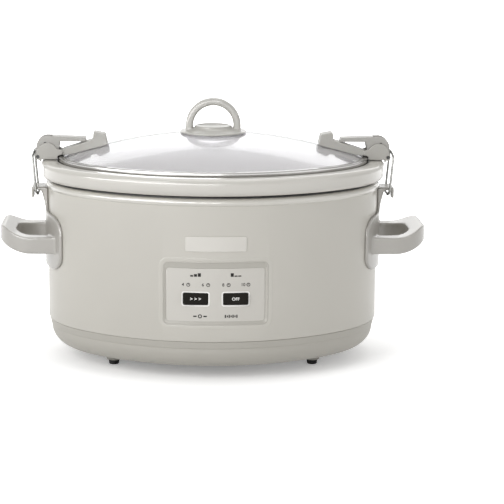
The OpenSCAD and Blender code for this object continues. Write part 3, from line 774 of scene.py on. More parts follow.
def array_tree() -> NodeTree:
    """Builds the tree that sets one small part on each point of its object."""
    found = bpy.data.node_groups.get("set_on_points")
    if found:
        return found
    tree, source = new_tree("set_on_points", [
        ("Part", "Object", None), ("Scale", "Float", 1.0), ("Material", "Material", None)])
    size = source.outputs
    part = add_node(tree, "GeometryNodeObjectInfo", {}, {"Object": size["Part"]}).outputs["Geometry"]
    points = add_node(tree, "GeometryNodeMeshToPoints", {}, {"Mesh": size["Geometry"]}).outputs[0]
    scale = add_node(tree, "ShaderNodeCombineXYZ", {}, {i: size["Scale"] for i in range(3)}).outputs[0]
    placed = add_node(tree, "GeometryNodeInstanceOnPoints", {},
                      {"Points": points, "Instance": part, "Scale": scale}).outputs[0]
    return end_tree(tree, source, placed)


def set_on_points(name: str, part: Object, points: Sequence[Place],
                  finish: Finish) -> Object:
    """Sets a small part on each of some points, in metres, and uses the part up.

    Args:
        name: The piece's name.
        part: The small part, about the origin.
        points: Where it goes.
        finish: The material that the tree sets.

    Returns:
        All the copies as one plain mesh piece.
    """
    piece = object_from(name, mesh_from(name, points))
    set_inputs(piece, array_tree(), {"Part": part, "Scale": 1.0, "Material": finish.build()})
    baked(piece)
    bpy.data.objects.remove(part)
    return piece


def wire_tree() -> NodeTree:
    """Builds the tree that bends round wire along a route with filleted corners."""
    found = bpy.data.node_groups.get("bent_wire")
    if found:
        return found
    tree, source = new_tree("bent_wire", [
        ("Wire Radius", "Float", 0.0012), ("Bend Radius", "Float", 0.002), ("Sides", "Int", 20),
        ("Material", "Material", None)])
    size = source.outputs
    route = add_node(tree, "GeometryNodeMeshToCurve", {}, {"Mesh": size["Geometry"]}).outputs[0]
    bent = add_node(tree, "GeometryNodeFilletCurve", {"mode": "POLY", "Limit Radius": True, "Count": 6},
                    {"Curve": route, "Radius": size["Bend Radius"]}).outputs[0]
    section = add_node(tree, "GeometryNodeCurvePrimitiveCircle", {},
                       {"Resolution": size["Sides"], "Radius": size["Wire Radius"]}).outputs[0]
    wire = add_node(tree, "GeometryNodeCurveToMesh", {"Fill Caps": True},
                    {"Curve": bent, "Profile Curve": section}).outputs[0]
    return end_tree(tree, source, wire)


def bent_wire(name: str, route_mm: Sequence[Place], radius_mm: float, bend_mm: float,
              finish: Finish) -> Object:
    """Bends a piece of round wire along a route of points.

    Args:
        name: The piece's name.
        route_mm: The route's corners.
        radius_mm: The wire's radius.
        bend_mm: Radius of its bends.
        finish: The material that the tree sets.

    Returns:
        The plain mesh piece.
    """
    edges = [(i, i + 1) for i in range(len(route_mm) - 1)]
    piece = object_from(name, mesh_from(name, [[c * MM for c in p] for p in route_mm], edges))
    set_inputs(piece, wire_tree(), {"Wire Radius": radius_mm * MM, "Bend Radius": bend_mm * MM,
                                    "Sides": 20, "Material": finish.build()})
    return baked(piece, 60.0)


def filled_mesh(name: str, outlines_mm: Sequence[Sequence[Point]], thick_mm: float,
                bevel_mm: float = 0.0) -> Mesh:
    """Fills outlines in the x-y plane, holes left open, and gives them a thickness along z.

    Args:
        name: The mesh's name.
        outlines_mm: Outer outlines, and any holes in them.
        thick_mm: The thickness, half of it on each side of the plane.
        bevel_mm: Width of the rounded edges.

    Returns:
        The plain mesh.
    """
    curve = bpy.data.curves.new(name, "CURVE")
    curve.dimensions = "2D"
    curve.fill_mode = "BOTH"
    curve.extrude = thick_mm * MM / 2
    curve.bevel_depth = bevel_mm * MM
    curve.bevel_resolution = 2
    curve.offset = -bevel_mm * MM
    for outline in outlines_mm:
        spline = curve.splines.new("POLY")
        spline.points.add(len(outline) - 1)
        for point, (x, y) in zip(spline.points, outline):
            point.co = (x * MM, y * MM, 0.0, 1.0)
        spline.use_cyclic_u = True
    return mesh_of_curve(name, curve)


def cut_upright(piece: Object) -> Object:
    """Cuts a flat mesh into upright strips, so that it can bend smoothly.

    Args:
        piece: A mesh drawn in the x-y plane.

    Returns:
        The same piece.
    """
    shell = bmesh.new()
    shell.from_mesh(piece.data)
    bmesh.ops.remove_doubles(shell, verts=shell.verts, dist=FINE_WELD)
    xs = [v.co.x for v in shell.verts]
    step = STRIP_MM * MM
    for i in range(math.ceil(min(xs) / step), math.floor(max(xs) / step) + 1):
        everything = [*shell.verts, *shell.edges, *shell.faces]
        bmesh.ops.bisect_plane(shell, geom=everything, plane_co=(i * step, 0, 0), plane_no=(1, 0, 0))
    mesh_of(shell, piece.data)
    return piece


def bend_to_wall(piece: Object, out_mm: float) -> Object:
    """Stands a flat mesh up, and bends it to the front wall.

    Args:
        piece: A mesh drawn in the x-y plane, its thickness along z.
        out_mm: Distance from the wall to the middle of the thickness.

    Returns:
        The same piece, closed and facing outwards.
    """
    for vertex in piece.data.vertices:
        x, y, z = vertex.co
        vertex.co = (x, OVAL.front(x, out_mm * MM) - z, y)
    return baked(piece, 30.0)


def bent_plate(name: str, outlines_mm: Sequence[Sequence[Point]], thick_mm: float, out_mm: float,
               bevel_mm: float = 0.0) -> Object:
    """Makes a plate from outlines of x and height, the middle of its thickness out_mm off the front wall.

    Args:
        name: The plate's name.
        outlines_mm: Its outline, and any holes.
        thick_mm: Its thickness.
        out_mm: Distance from the wall to the middle of the thickness.
        bevel_mm: Width of the rounded edges.

    Returns:
        The bent plate.
    """
    plate = object_from(name, filled_mesh(name, outlines_mm, thick_mm, bevel_mm))
    return bend_to_wall(cut_upright(plate), out_mm)


def bent_ring(name: str, rows: Sequence[tuple[float, float, float, float, float]]) -> Object:
    """Lofts a closed ring through rounded rectangles, and bends it to the front wall.

    Args:
        name: The ring's name.
        rows: Width, height, corner radius, height of the middle and lift off the wall of each rectangle.

    Returns:
        The ring.
    """
    points = [(x * MM, z * MM, lift * MM)
              for w, h, corner, middle, lift in rows for x, z in ring_outline(w, h, corner, 0, middle)]
    n, m = len(points) // len(rows), len(rows)
    faces = [(i * n + j, i * n + (j + 1) % n, (i + 1) % m * n + (j + 1) % n, (i + 1) % m * n + j)
             for i in range(m) for j in range(n)]
    return bend_to_wall(cut_upright(object_from(name, mesh_from(name, points, faces=faces))), 0.0)


def cut_through(piece: Object, outlines_mm: Sequence[Sequence[Point]], low_mm: float,
                high_mm: float, upright: bool = True) -> None:
    """Cuts holes of given outlines through a piece.

    Args:
        piece: The piece that is cut.
        outlines_mm: Outlines that don't touch, in plan or, if not upright, seen from the front.
        low_mm: Where the cut starts, in z or, if not upright, in y.
        high_mm: Where it ends.
        upright: Whether the holes run along z. Otherwise they run along y.
    """
    mesh = filled_mesh("cutter", outlines_mm, high_mm - low_mm)
    middle = (high_mm + low_mm) * MM / 2
    mesh.transform(Matrix.Translation((0, 0, middle)) if upright
                   else Matrix.Translation((0, middle, 0)) @ STAND_UP)
    carve(piece, baked(object_from("cutter", mesh)))


def ring_outline(w: float, h: float, r: float, x: float = 0.0, z: float = 0.0) -> list[Point]:
    """Gives a rounded rectangle's outline about (x, z).

    Args:
        w: Width.
        h: Height.
        r: Radius of its corners.
        x: Middle, across.
        z: Middle, up.

    Returns:
        The outline's points.
    """
    points: list[Point] = []
    for sx, sz, start in ((1, 1, 0), (-1, 1, 90), (-1, -1, 180), (1, -1, 270)):
        points += arc(x + sx * (w / 2 - r), z + sz * (h / 2 - r), r, start, start + 90, 6)
    return points


def round_hole(x: float, y: float, radius: float) -> list[Point]:
    """Gives a round hole's outline about (x, y)."""
    return arc(x, y, radius, 0, 350, 35)


def lettering(name: str, words: Sequence[tuple[str, float, float, float]], finish: Finish, out_mm: float,
              body: str, slot: str, flat: bool = False) -> Object:
    """Prints plain figures on the front.

    Args:
        name: The piece's name.
        words: Text, x, z and height of the figures, all in millimetres.
        finish: The ink.
        out_mm: Distance of the print from the wall or, if flat, from the middle of the object.
        body: The body that it rides on.
        slot: The record's material slot.
        flat: Whether the print lies on a flat face and isn't bent to the wall.

    Returns:
        The printed piece.
    """
    shells = bmesh.new()
    for text, x, z, height in words:
        curve = bpy.data.curves.new(name, "FONT")
        curve.body = text
        curve.align_x = "CENTER"
        curve.align_y = "CENTER"
        curve.size = height * SIZE_PER_HEIGHT * MM
        curve.offset = BOLDER_MM * MM
        curve.extrude = INK_MM * MM
        mesh = mesh_of_curve(name, curve)
        mesh.transform(Matrix.Translation((x * MM, z * MM, 0)))
        shells.from_mesh(mesh)
    mesh = mesh_of(shells, bpy.data.meshes.new(name))
    if flat:
        mesh.transform(Matrix.Translation((0, -out_mm * MM, 0)) @ STAND_UP)
        return hand_over(baked(object_from(name, mesh), 30.0), body, finish, slot)
    return hand_over(bend_to_wall(object_from(name, mesh), out_mm), body, finish, slot)


@dataclass
class Housing:
    """The painted wall, the base tray, its feet and screws, and the blank label plate."""

    foot_xy_mm: tuple[float, float] = (102.0, 51.0)
    screw_inset_mm: float = 9.0
    screw_mm: tuple[float, float, float] = (3.0, 2.1, 1.5)
    sheet_mm: float = 1.2
    hem_z_mm: float = 42.5
    fold_mm: float = 1.6
    bead_mm: tuple[float, float, float] = (-2.0, 181.2, 4.0)
    window_mm: tuple[float, float, float] = (104.3, 63.7, 5.65)
    ridge_mm: tuple[float, float, float] = (0.2, 2.0, 0.2)
    ridge_steps: int = 8
    floor_z_mm: float = 13.0
    corner_mm: tuple[float, float] = (-23.0, 20.0)
    skin_mm: float = 2.5
    slot_mm: tuple[float, float, float] = (34.0, 3.4, 1.6)
    vent_pitch_mm: tuple[float, float] = (48, 11)
    hole_mm: tuple[float, float, float] = (3.3, 6.5, 5.1)
    label_mm: tuple[float, float, float] = (60.2, 14.8, 140.6)
    foot_outline_mm: list[Point] = field(default_factory=lambda: [
        (0.0, 0.9), (3.0, 0.9), (3.2, 0.1), (4.6, 0.0), (5.1, 0.5), (5.25, 1.6), (5.15, 2.0), (5.35, 2.4),
        (5.45, 3.4), (5.35, 3.7), (5.6, 4.1), (5.75, 4.9), (3.0, 5.0), (3.0, 10.9), (0.0, 10.9)])

    def build(self) -> None:
        """Builds the housing's pieces."""
        self._wall()
        self._swage()
        self._tray()
        self._feet()
        self._screws()
        self._label()

    def _wall(self) -> None:
        """Sweeps the sheet with its folded hem and rolled bead, and cuts the panel's window."""
        t, hem = self.sheet_mm, self.hem_z_mm
        d, z, r = self.bead_mm
        start = -math.degrees(math.acos(-d / r))
        inner_start = -math.degrees(math.acos((-t - d) / (r - t)))
        fold = hem + self.fold_mm
        profile = [(0.0, hem + 0.5), (-0.15, hem + 0.15), (-0.5, hem), (-t, hem), (-t, fold),
                   (-12.0, fold), (-12.0, fold + t), (-t, fold + t)]
        roll = arc(d, z, r - t, inner_start, 205, 14) + arc(d, z, r, 205, start, 24)
        # The bead takes the lighter copy of the enamel: a painted highlight along it.
        bead = swept("wall_bead", roll, BEAD_ENAMEL_LIGHTENED, smooth_deg=35.0)
        hand_over(bead, "base", BEAD_ENAMEL_LIGHTENED, "painted_steel", "housing_wrap")
        wall = swept("wall", profile + [roll[0], roll[-1]], WALL_ENAMEL, smooth_deg=35.0)
        w, h, corner = self.window_mm
        window = ring_outline(w, h, corner, 0, middle_z_mm("control_bezel"))
        cut_through(wall, [window], -150, -100, upright=False)
        hand_over(wall, "base", WALL_ENAMEL, "painted_steel", "housing_wrap")

    def _swage(self) -> None:
        """Adds the soft pressed ridge that runs round the panel's window."""
        w, h, corner = self.window_mm
        start, half, lift_mm = self.ridge_mm
        turns = [math.pi * i / self.ridge_steps for i in range(self.ridge_steps + 1)]
        waves = [(start + half * (1 - math.cos(a)), lift_mm * math.sin(a)) for a in turns]
        rows = [(w + 2 * out, h + 2 * out, corner + out, middle_z_mm("control_bezel"), lift)
                for out, lift in [(0.15, -0.3)] + waves + [(4.25, -0.3)]]
        hand_over(bent_ring("wall_swage", rows), "base", WALL_ENAMEL, "painted_steel")

    def _tray(self) -> None:
        """Sweeps the base tray, and cuts its vents, screw holes and cord hole."""
        d, r = self.corner_mm
        z, t = self.floor_z_mm, self.skin_mm
        hem = self.hem_z_mm
        profile = [(d - 40, z)] + arc(d, z + r, r, -90, 0, 14)
        profile += [(d + r, hem - 8.1), (d + r + 0.25, hem - 7.5), (d + r + 0.8, hem - 7.1),
                    (d + r + 2.2, hem - 0.9), (d + r + 1.9, hem - 0.4), (-1.4, hem - 0.4),
                    (-1.4, hem + 1.3), (-3.4, hem + 1.3), (-4.4, hem - 6.5), (d + r - t, hem - 7.5)]
        profile += arc(d, z + r, r - t, 0, -90, 10) + [(d - 40, z + t)]
        tray = swept("tray", profile, TRAY_MOULDING, closed=False, smooth_deg=35.0)
        w, h, corner = self.slot_mm
        dx, dy = self.vent_pitch_mm
        screw_hole, bolt_hole, cord_hole = self.hole_mm
        holes = [ring_outline(w, h, corner, x * dx, y * dy) for x in (-1, 1) for y in range(-2, 3)]
        holes += [round_hole(x / MM, y / MM, screw_hole) for x, y, _ in self._screw_points()]
        cut_through(tray, [*holes, round_hole(0, 0, bolt_hole)], 5, 25)
        cut_through(tray, [round_hole(0, middle_z_mm("cord_gland"), cord_hole)], 100, 150, upright=False)
        hand_over(tray, "base", TRAY_MOULDING, "base_plastic", "base_pan")
        stand = swept("stand", [(0, 5), (7.2, 5), (7.6, 5.4), (8.4, z + 0.5), (0, z + 0.5)],
                      TRAY_MOULDING, LATHE, 48, closed=False)
        stands = set_on_points("foot_stands", stand, self._foot_points(), TRAY_MOULDING)
        hand_over(stands, "base", TRAY_MOULDING, "base_plastic")

    def _foot_points(self) -> list[Place]:
        """Gives the four feet's places on the ground."""
        x, y = self.foot_xy_mm
        return [(sx * x * MM, sy * y * MM, 0.0) for sx in (-1, 1) for sy in (-1, 1)]

    def _screw_points(self) -> list[Place]:
        """Gives the places of the tray's screws: one at each end and two at the back."""
        low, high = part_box("base_screws")
        head, *_ = self.screw_mm
        end, back = high.x - head * MM, high.y - head * MM
        path = OVAL.side_radius - self.screw_inset_mm * MM
        side = math.sqrt(path ** 2 - (back + OVAL.side_centre) ** 2)
        return [(s * x, y, low.z) for s in (-1, 1) for x, y in ((end, 0.0), (side, back))]

    def _feet(self) -> None:
        """Turns the ribbed feet, and sets one under each corner."""
        foot = swept("foot", self.foot_outline_mm, FOOT_RUBBER, LATHE, 36, closed=False)
        feet = set_on_points("feet", foot, self._foot_points(), FOOT_RUBBER)
        hand_over(feet, "base", FOOT_RUBBER, "black_rubber", "rubber_feet")

    def _screws(self) -> None:
        """Sets a cross-recessed screw head up each of the four holes under the tray."""
        low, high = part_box("base_screws")
        head, tall, shank = self.screw_mm
        screw = screw_part("tray_screw", head, tall, (high.z - low.z) / MM, shank)
        screws = set_on_points("tray_screws", screw, self._screw_points(), SCREW_ZINC)
        hand_over(screws, "base", SCREW_ZINC, "screw_steel", "base_screws")

    def _label(self) -> None:
        """Bends the blank label plate to the wall, with a fine raised edge."""
        w, h, z = self.label_mm
        plate = bent_plate("label_plate", [ring_outline(w, h, 1.8, 0, z)], 0.5, 0.3, bevel_mm=0.2)
        hand_over(plate, "base", LABEL_PLATE, "painted_steel")


def screw_part(name: str, head_mm: float, tall_mm: float, length_mm: float, shank_mm: float) -> Object:
    """Makes one pan-head screw that points up, its cross recess underneath.

    Args:
        name: The screw's name.
        head_mm: Radius of the head.
        tall_mm: Height of the head.
        length_mm: Whole length.
        shank_mm: Radius of the shank.

    Returns:
        The screw, with its head's top at z = 0.
    """
    outline = [(0.0, 0.0), (head_mm * 0.55, 0.05), (head_mm * 0.85, 0.35), (head_mm, 1.0),
               (head_mm, tall_mm), (shank_mm, tall_mm), (shank_mm, length_mm - 1), (0.3, length_mm),
               (0.0, length_mm)]
    screw = swept(name, outline, SCREW_ZINC, LATHE, 32, closed=False)
    for turn in (0, 90):
        shell = bmesh.new()
        bmesh.ops.create_cube(shell, size=1.0)
        size = (head_mm * 1.1 * MM, head_mm * 0.22 * MM, tall_mm * 1.1 * MM)
        bmesh.ops.scale(shell, vec=size, verts=shell.verts)
        bmesh.ops.rotate(shell, matrix=Matrix.Rotation(math.radians(turn), 3, "Z"), verts=shell.verts)
        carve(screw, object_from("bar", mesh_of(shell, bpy.data.meshes.new("bar"))))
    return screw


@dataclass
class ControlPanel:
    """The sunk frame, the printed film, the keys and the plain markings."""

    key_mm: tuple[float, float] = (24.3, 11.5)
    key_x_mm: float = 19.7
    hours: tuple[str, ...] = ("4", "6", "8", "10")
    hour_x_mm: tuple[float, ...] = (-29.5, -10.0, 10.0, 29.5)
    dial_x_mm: float = 2.6
    level_x_mm: float = 19.8
    state_x_mm: float = 15.3
    film_mm: float = -0.9
    print_mm: float = 0.06
    lip_mm: tuple[float, float] = (101.7, 61.1)

    def build(self) -> None:
        """Builds the panel's pieces."""
        # The frame and its slope take the darkened moulding: painted shade of the recess.
        mould("control_bezel", "panel_frame", "base", FRAME_MOULDING_SHADED, "bezel_plastic",
              voxel_mm=0.35, passes=3, keep=0.45)
        film = baked(merged_copy("control_panel", "panel_film"), 30.0)
        hand_over(film, "base", PANEL_FILM, "panel_film", "control_panel")
        for node, body in (("button_select", "select_button"), ("button_off", "off_button")):
            mould(node, node + "_key", body, KEY_CAP, "button_plastic", voxel_mm=0.4, passes=3, keep=0.4)
        self._slope()
        self._outlines()
        self._key_signs()
        self._markings()

    @property
    def key_z_mm(self) -> float:
        """Height of the keys' middle."""
        return middle_z_mm("button_off")

    def _slope(self) -> None:
        """Adds the slope that leads from the frame's lip down to the film."""
        low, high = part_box("control_panel")
        inner = ((high.x - low.x) / MM + 0.1, (high.z - low.z) / MM + 0.1, 3.65, middle_z_mm("control_panel"))
        outer = (*self.lip_mm, 4.35, middle_z_mm("control_bezel"))
        back = self.film_mm - 1
        rows = [(*inner, back), (*inner, self.film_mm - 0.3), (*outer, -0.05), (*outer, back)]
        hand_over(bent_ring("panel_slope", rows), "base", FRAME_MOULDING_SHADED, "bezel_plastic")

    def _outlines(self) -> None:
        """Prints the white line round each key."""
        w, h = self.key_mm
        for side, name in ((-1, "select"), (1, "off")):
            x = side * self.key_x_mm
            rings = [ring_outline(w + 3.4, h + 3.4, 2.4, x, self.key_z_mm),
                     ring_outline(w + 0.9, h + 0.9, 1.4, x, self.key_z_mm)]
            ring = bent_plate(name + "_outline", rings, self.print_mm, self.film_mm + 0.05)
            hand_over(ring, "base", WHITE_INK, "panel_film")

    def _key_signs(self) -> None:
        """Prints the signs on the keys."""
        face = -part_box("button_off")[0].y / MM + 0.01
        lettering("off_word", [("OFF", self.key_x_mm, self.key_z_mm, 3.0)], WHITE_INK, face,
                  "off_button", "button_plastic", flat=True)
        lettering("select_sign", [("> > >", -self.key_x_mm, self.key_z_mm, 3.4)], WHITE_INK, face,
                  "select_button", "button_plastic", flat=True)

    def _markings(self) -> None:
        """Prints the hours, each with a small dial, and bars and rings for heat and state."""
        hours_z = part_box("indicator_leds")[1].z / MM - 1.5
        state_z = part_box("indicator_leds")[0].z / MM + 1.5
        level_z = hours_z + 9.8
        figures = [(hours, x - self.dial_x_mm, hours_z, 3.0) for hours, x in zip(self.hours, self.hour_x_mm)]
        lettering("hour_figures", figures, DARK_INK, self.film_mm + 0.04, "base", "panel_film")
        shapes: list[Sequence[Point]] = []
        for x in [x + self.dial_x_mm for x in self.hour_x_mm]:
            shapes += [ring_outline(3.7, 3.7, 1.8, x, hours_z), ring_outline(2.4, 2.4, 1.15, x, hours_z),
                       ring_outline(0.7, 1.2, 0.3, x, hours_z + 0.4)]
        for x, tall in ((-self.level_x_mm, (1.6, 2.6, 3.6)), (self.level_x_mm, (3.6, 1.2, 1.2))):
            for i, height in enumerate(tall):
                shapes.append(ring_outline(3.0, height, 0.2, x + (i - 1) * 3.7, level_z - 1.6 + height / 2))
        for i in range(-3, 4):
            shapes.append(ring_outline(1.2, 3.2 if i % 2 else 2.0, 0.4, self.state_x_mm + i * 1.9, state_z))
        shapes += [ring_outline(4.0, 4.0, 1.95, -self.state_x_mm, state_z),
                   ring_outline(2.2, 2.2, 1.05, -self.state_x_mm, state_z)]
        shapes += [ring_outline(3.6, 1.3, 0.5, -self.state_x_mm + side * 5.0, state_z) for side in (-1, 1)]
        signs = bent_plate("panel_signs", shapes, self.print_mm, self.film_mm + 0.05)
        hand_over(signs, "base", DARK_INK, "panel_film")


@dataclass
class SideHandles:
    """The two carry handles with their latch catches, and the cord gland."""

    def build(self) -> None:
        """Builds both handles and the cord gland."""
        for side in ("left", "right"):
            node = "handle_" + side
            mould(node, node + "_moulding", "base", HANDLE_MOULDING, "handle_plastic",
                  voxel_mm=1.0, passes=5, keep=0.5)
        mould("cord_gland", "cord_gland_sleeve", "base", FOOT_RUBBER, "black_rubber",
              voxel_mm=0.6, passes=3, keep=0.5)


@dataclass
class Crock:
    """The glazed stoneware crock, swept as one wall and closed by its floor."""

    lining_coat_mm: float = 0.15

    def outline_mm(self) -> list[Point]:
        """Gives the wall's section from the outer floor edge over the rim to the inner floor edge."""
        rim = [(-8.0, 186.4), (-7.3, 186.7), (-6.6, 187.6), (-5.6, 188.0)]
        rim += arc(2, 193, 5, -90, 0, 9) + arc(2, 200, 5, 0, 90, 9)
        return (
            [(-52.0, 58.0), (-49.4, 58.0), (-48.9, 57.0), (-48.2, 56.5), (-45.0, 56.5), (-44.2, 57.0),
             (-43.6, 58.0)]
            + arc(-42, 80, 22, -90, 0, 14) + [(-20.0, 120.0), (-20.0, 180.0)]
            + arc(-17.8, 184.2, 2.2, 180, 90, 4) + rim
            + [(-8.0, 205.0)] + arc(-9.0, 203.5, 1.4, 80, 180, 4)
            + arc(-11.6, 199.6, 1.1, 0, -90, 3) + [(-18.0, 198.5)]
            + arc(-23.5, 196.0, 2.5, 90, 180, 5) + [(-26.0, 180.0), (-26.0, 120.0)]
            + arc(-42, 80, 16, 0, -90, 12) + [(-52.0, 64.0)]
        )

    def lining_mm(self) -> list[Point]:
        """Gives the section of the inner glaze: a thin coat from the ledge down to the floor."""
        t = self.lining_coat_mm
        inside = (arc(-23.5, 196.0, 2.5 + t, 100, 180, 5) + [(-26.0 - t, 180.0), (-26.0 - t, 120.0)]
                  + arc(-42, 80, 16 - t, 0, -90, 12) + [(-52.0, 64.0 + t)])
        outside = (arc(-23.5, 196.0, 2.4, 100, 180, 5) + [(-25.9, 180.0), (-25.9, 120.0)]
                   + arc(-42, 80, 16.1, 0, -90, 12) + [(-52.0, 63.9)])
        return list(reversed(outside)) + inside

    def build(self) -> None:
        """Builds the crock and its inner glaze."""
        crock = swept("crock_pot", self.outline_mm(), STONEWARE_GLAZE, closed=False, smooth_deg=50.0)
        hand_over(crock, "crock", STONEWARE_GLAZE, "stoneware", "crock")
        # The lining's greyed glaze is painted shade under the lid.
        lining = swept("crock_lining", self.lining_mm(), INNER_GLAZE_GREYED, closed=False, smooth_deg=50.0)
        hand_over(lining, "crock", INNER_GLAZE_GREYED, "stoneware")


@dataclass
class Lid:
    """The glass, its steel band and seal, and the arched handle on its dish."""

    glass_edge_mm: float = 13.0
    crown_mm: float = 234.5
    rise_mm: float = 27.5
    power: float = 1.82
    glass_mm: float = 4.0

    def build(self) -> None:
        """Builds the lid's pieces."""
        self._glass()
        band = swept("lid_band", self.band_mm(), BAND_STEEL, smooth_deg=50.0)
        hand_over(band, "lid", BAND_STEEL, "lid_steel", "lid_rim")
        seal = swept("lid_seal", round_corners([
            (-22, 198.9), (-13.2, 198.9), (-13.2, 200.5), (-16.4, 200.5), (-16.4, 202.9), (-18.8, 202.9),
            (-18.8, 200.5), (-22, 200.1)], 0.5, 2), SEAL_SILICONE, turns=240, smooth_deg=50.0)
        hand_over(seal, "lid", SEAL_SILICONE, "silicone", "lid_gasket")
        mould("lid_handle", "lid_handle_moulding", "lid", KNOB_MOULDING_LIT, "handle_plastic",
              voxel_mm=0.6, passes=4, keep=0.5)

    def band_mm(self) -> list[Point]:
        """Gives the section of the rolled steel band."""
        outer = [(-16, 200.6), (-11.6, 200.6), (-11, 201.2)] + arc(-12.5, 207.8, 1.5, 0, 90, 6)
        return outer + [(-16, 209.3), (-16, 208.4), (-12.0, 208.3), (-12.0, 201.6), (-16, 201.5)]

    def _glass(self) -> None:
        """Domes the glass by its rule."""
        glass = object_from("lid_dome", bpy.data.meshes.new("lid_dome"))
        edge = self.glass_edge_mm * MM
        sizes = Oval(OVAL.end_centre, OVAL.side_centre, OVAL.end_radius - edge, OVAL.side_radius - edge)
        set_inputs(glass, dome_tree(), {
            **sizes.inputs(), "Crown": self.crown_mm * MM, "Rise": self.rise_mm * MM,
            "Power": self.power, "Thickness": self.glass_mm * MM, "Turns": 240, "Rings": 48,
            "Material": LID_GLASS.build()})
        hand_over(baked(glass, 40.0), "lid", LID_GLASS, "clear_glass", "lid_glass")


@dataclass
class Latches:
    """The over-centre latches: base, lever and bent wire on each end of the lid."""

    wire_mm: float = 1.2
    bend_mm: float = 2.4
    eye_shade_cap_mm: tuple[float, float, float] = (1.5, 0.4, 0.22)
    route_mm: tuple[Place, ...] = (
        (173.2, 7.6, 222.2), (173.2, 3.9, 222.2), (184.9, 4.1, 213.6), (185.6, 16.6, 210.2),
        (182.6, 17.2, 174.6), (180.8, 15.0, 170.5))

    def build(self) -> None:
        """Builds both latches."""
        for side, s in (("left", -1), ("right", 1)):
            mould("latch_base_" + side, f"latch_base_{side}_moulding", "lid", LATCH_MOULDING, "latch_plastic",
                  voxel_mm=0.45, passes=4, keep=0.4)
            mould("latch_lever_" + side, f"latch_lever_{side}_moulding", "lever_" + side, LEVER_MOULDING_SHADED,
                  "lever_plastic", voxel_mm=0.4, passes=4, keep=0.4)
            there = [(s * x, y, z) for x, y, z in self.route_mm]
            back = [(x, -y, z) for x, y, z in reversed(there)]
            bail = bent_wire(f"bail_{side}_wire", there + back, self.wire_mm, self.bend_mm, BAIL_WIRE)
            hand_over(bail, "bail_" + side, BAIL_WIRE, "wire_steel", "latch_bail_" + side)
            self._eye_shade_caps(side, s)

    def _eye_shade_caps(self, side: str, s: int) -> None:
        """Closes the wire's two eyes in a lever with small black caps: painted shade in the eye holes.

        Args:
            side: Left or right.
            s: -1 for left and 1 for right.
        """
        x, y, z = self.route_mm[0]
        radius, depth, out = self.eye_shade_cap_mm
        name = f"eye_caps_{side}"
        shells = bmesh.new()
        for way in (-1, 1):
            place = Matrix.Translation((s * x * MM, way * (y + out) * MM, z * MM))
            bmesh.ops.create_cone(shells, cap_ends=True, segments=32, radius1=radius * MM,
                                  radius2=radius * MM, depth=depth * MM, matrix=place @ STAND_UP)
        caps = baked(object_from(name, mesh_of(shells, bpy.data.meshes.new(name))), 30.0)
        hand_over(caps, "lever_" + side, PIN_AND_EYE_SHADE_BLACK, "lever_plastic")


@dataclass
class Inside:
    """The CAD's own solids, among them the parts inside, which keep their CAD shapes."""

    def build(self) -> None:
        """Gives every CAD node a finish, those that stand replaced among them."""
        for name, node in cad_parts.items():
            material = CAD_FINISH[name].build()
            if node.material_slots:
                for slot in node.material_slots:
                    slot.material = material
            else:
                node.data.materials.append(material)
        LOG.info("%d CAD nodes dressed", len(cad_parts))


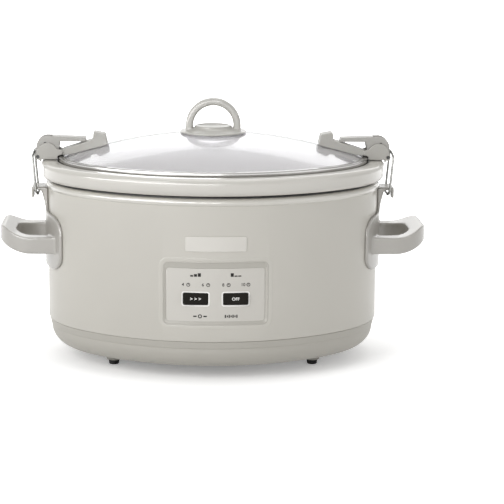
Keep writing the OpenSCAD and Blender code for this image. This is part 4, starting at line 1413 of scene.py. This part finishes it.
@dataclass
class Studio:
    """The floor, the lamps, the world and the camera."""

    target: Place = (0.0, 0.0, 0.126)
    distance: float = 1.895
    azimuth_deg: float = -1.5
    elevation_deg: float = 10.8
    roll_deg: float = 0.35
    lens_mm: float = 129.4
    shift: tuple[float, float] = (0.0782, -0.0359)
    world_strength: float = 0.5
    floor_glow: float = 0.6
    floor_half: float = 14.0

    def build(self) -> None:
        """Builds the studio."""
        bpy.context.scene.view_settings.view_transform = "Standard"
        self._floor()
        self._world()
        self._lamp("key", (-1.6, -1.7, 1.45), (1.5, 1.5), 27.0)
        self._lamp("fill", (1.9, -1.2, 0.9), (1.4, 1.4), 5.0)
        self._lamp("top", (0.1, 0.2, 2.1), (1.4, 1.4), 11.0)
        self._lamp("back", (0.0, 1.9, 1.05), (3.2, 1.1), 12.0)
        self._lamp("strip", (-0.95, -1.35, 0.36), (2.8, 0.4), 36.0, gloss_only=True)
        self._camera()

    def _floor(self) -> None:
        """Lays the pale floor, which camera and mirror rays see nearly white, with its shadow kept, and its
        glow dimmed near the object as painted shadow.
        """
        r = self.floor_half
        mesh = mesh_from("floor", [(-r, -r, 0), (r, -r, 0), (r, r, 0), (-r, r, 0)], faces=[(0, 1, 2, 3)])
        floor = object_from("floor", mesh)
        material = bpy.data.materials.new("floor_paper")
        material.use_nodes = True
        tree = material.node_tree
        tree.nodes.clear()
        paper = add_node(tree, "ShaderNodeBsdfDiffuse", {"Color": linear("F6F6F6")}).outputs[0]
        place = add_node(tree, "ShaderNodeTexCoord").outputs["Object"]
        oval = add_node(tree, "ShaderNodeMapping", {"Scale": (0.8, 1.0, 1.0)}, {"Vector": place}).outputs[0]
        way = add_node(tree, "ShaderNodeVectorMath", {"operation": "LENGTH"}, {0: oval}).outputs["Value"]
        # The glow is dimmed close to the object: painted shadow round its foot.
        near = add_node(tree, "ShaderNodeMapRange",
                        {"From Min": 0.0, "From Max": 0.28, "To Min": 0.1, "To Max": self.floor_glow},
                        {"Value": way}).outputs["Result"]
        far = add_node(tree, "ShaderNodeMapRange",
                       {"From Min": 0.5, "From Max": 1.6, "To Min": 0.0, "To Max": 1.0},
                       {"Value": way}).outputs["Result"]
        calc = Calc(tree)
        lift = calc.op("MULTIPLY", calc.op("ADD", near, far), self._seen(calc))
        glow = add_node(tree, "ShaderNodeEmission", {"Color": (1, 1, 1, 1)}, {"Strength": lift}).outputs[0]
        both = add_node(tree, "ShaderNodeAddShader", {}, {0: paper, 1: glow}).outputs[0]
        add_node(tree, "ShaderNodeOutputMaterial", {}, {"Surface": both})
        mesh.materials.append(material)

    def _seen(self, calc: Calc) -> NodeSocket:
        """Gives 1 for rays from the camera, off gloss and through glass, and 0 otherwise."""
        path = add_node(calc.tree, "ShaderNodeLightPath").outputs
        return calc.op("MAXIMUM", path["Is Camera Ray"],
                       calc.op("MAXIMUM", path["Is Glossy Ray"], path["Is Transmission Ray"]))

    def _world(self) -> None:
        """Sets a soft world that is white to the camera, to gloss and through glass."""
        world = bpy.data.worlds.new("studio")
        world.use_nodes = True
        bpy.context.scene.world = world
        tree = world.node_tree
        tree.nodes.clear()
        calc = Calc(tree)
        strength = calc.op("MAXIMUM", self._seen(calc), self.world_strength)
        sky = add_node(tree, "ShaderNodeBackground", {"Color": (1, 1, 1, 1)},
                       {"Strength": strength}).outputs[0]
        add_node(tree, "ShaderNodeOutputWorld", {}, {"Surface": sky})

    def _lamp(self, name: str, place: Place, size: Point, power: float, gloss_only: bool = False) -> None:
        """Hangs a soft lamp of some width and height that faces the object.

        Args:
            name: Name of the lamp.
            place: Where it hangs, in metres.
            size: Width and height, in metres.
            power: Power in watts.
            gloss_only: Whether only reflections see it, as a strip lamp for a highlight.
        """
        lamp = bpy.data.lights.new(name, "AREA")
        lamp.shape = "RECTANGLE"
        lamp.size, lamp.size_y = size
        lamp.energy = power
        holder = object_from(name, lamp)
        holder.location = place
        away = Vector(place) - Vector(self.target)
        holder.rotation_euler = away.to_track_quat("Z", "Y").to_euler()
        holder.visible_camera = False
        if gloss_only:
            holder.visible_diffuse = False
            holder.visible_transmission = False

    def _camera(self) -> None:
        """Sets the camera up."""
        az, el = math.radians(self.azimuth_deg), math.radians(self.elevation_deg)
        back = Vector((math.sin(az) * math.cos(el), -math.cos(az) * math.cos(el), math.sin(el)))
        camera = bpy.data.cameras.new("camera")
        camera.lens = self.lens_mm
        camera.sensor_width = 36.0
        camera.shift_x, camera.shift_y = self.shift
        camera.clip_end = 100.0
        holder = object_from("camera", camera)
        turn = back.to_track_quat("Z", "Y").to_matrix() @ Matrix.Rotation(math.radians(self.roll_deg), 3, "Z")
        holder.matrix_world = Matrix.Translation(Vector(self.target) + back * self.distance) @ turn.to_4x4()
        bpy.context.scene.camera = holder


def main() -> None:
    """Builds the studio and every sub-assembly, in order."""
    for part in (Studio(), Inside(), Housing(), ControlPanel(), SideHandles(), Crock(), Lid(), Latches()):
        LOG.info("building %s", type(part).__name__)
        part.build()


if __name__ == "__main__":
    main()
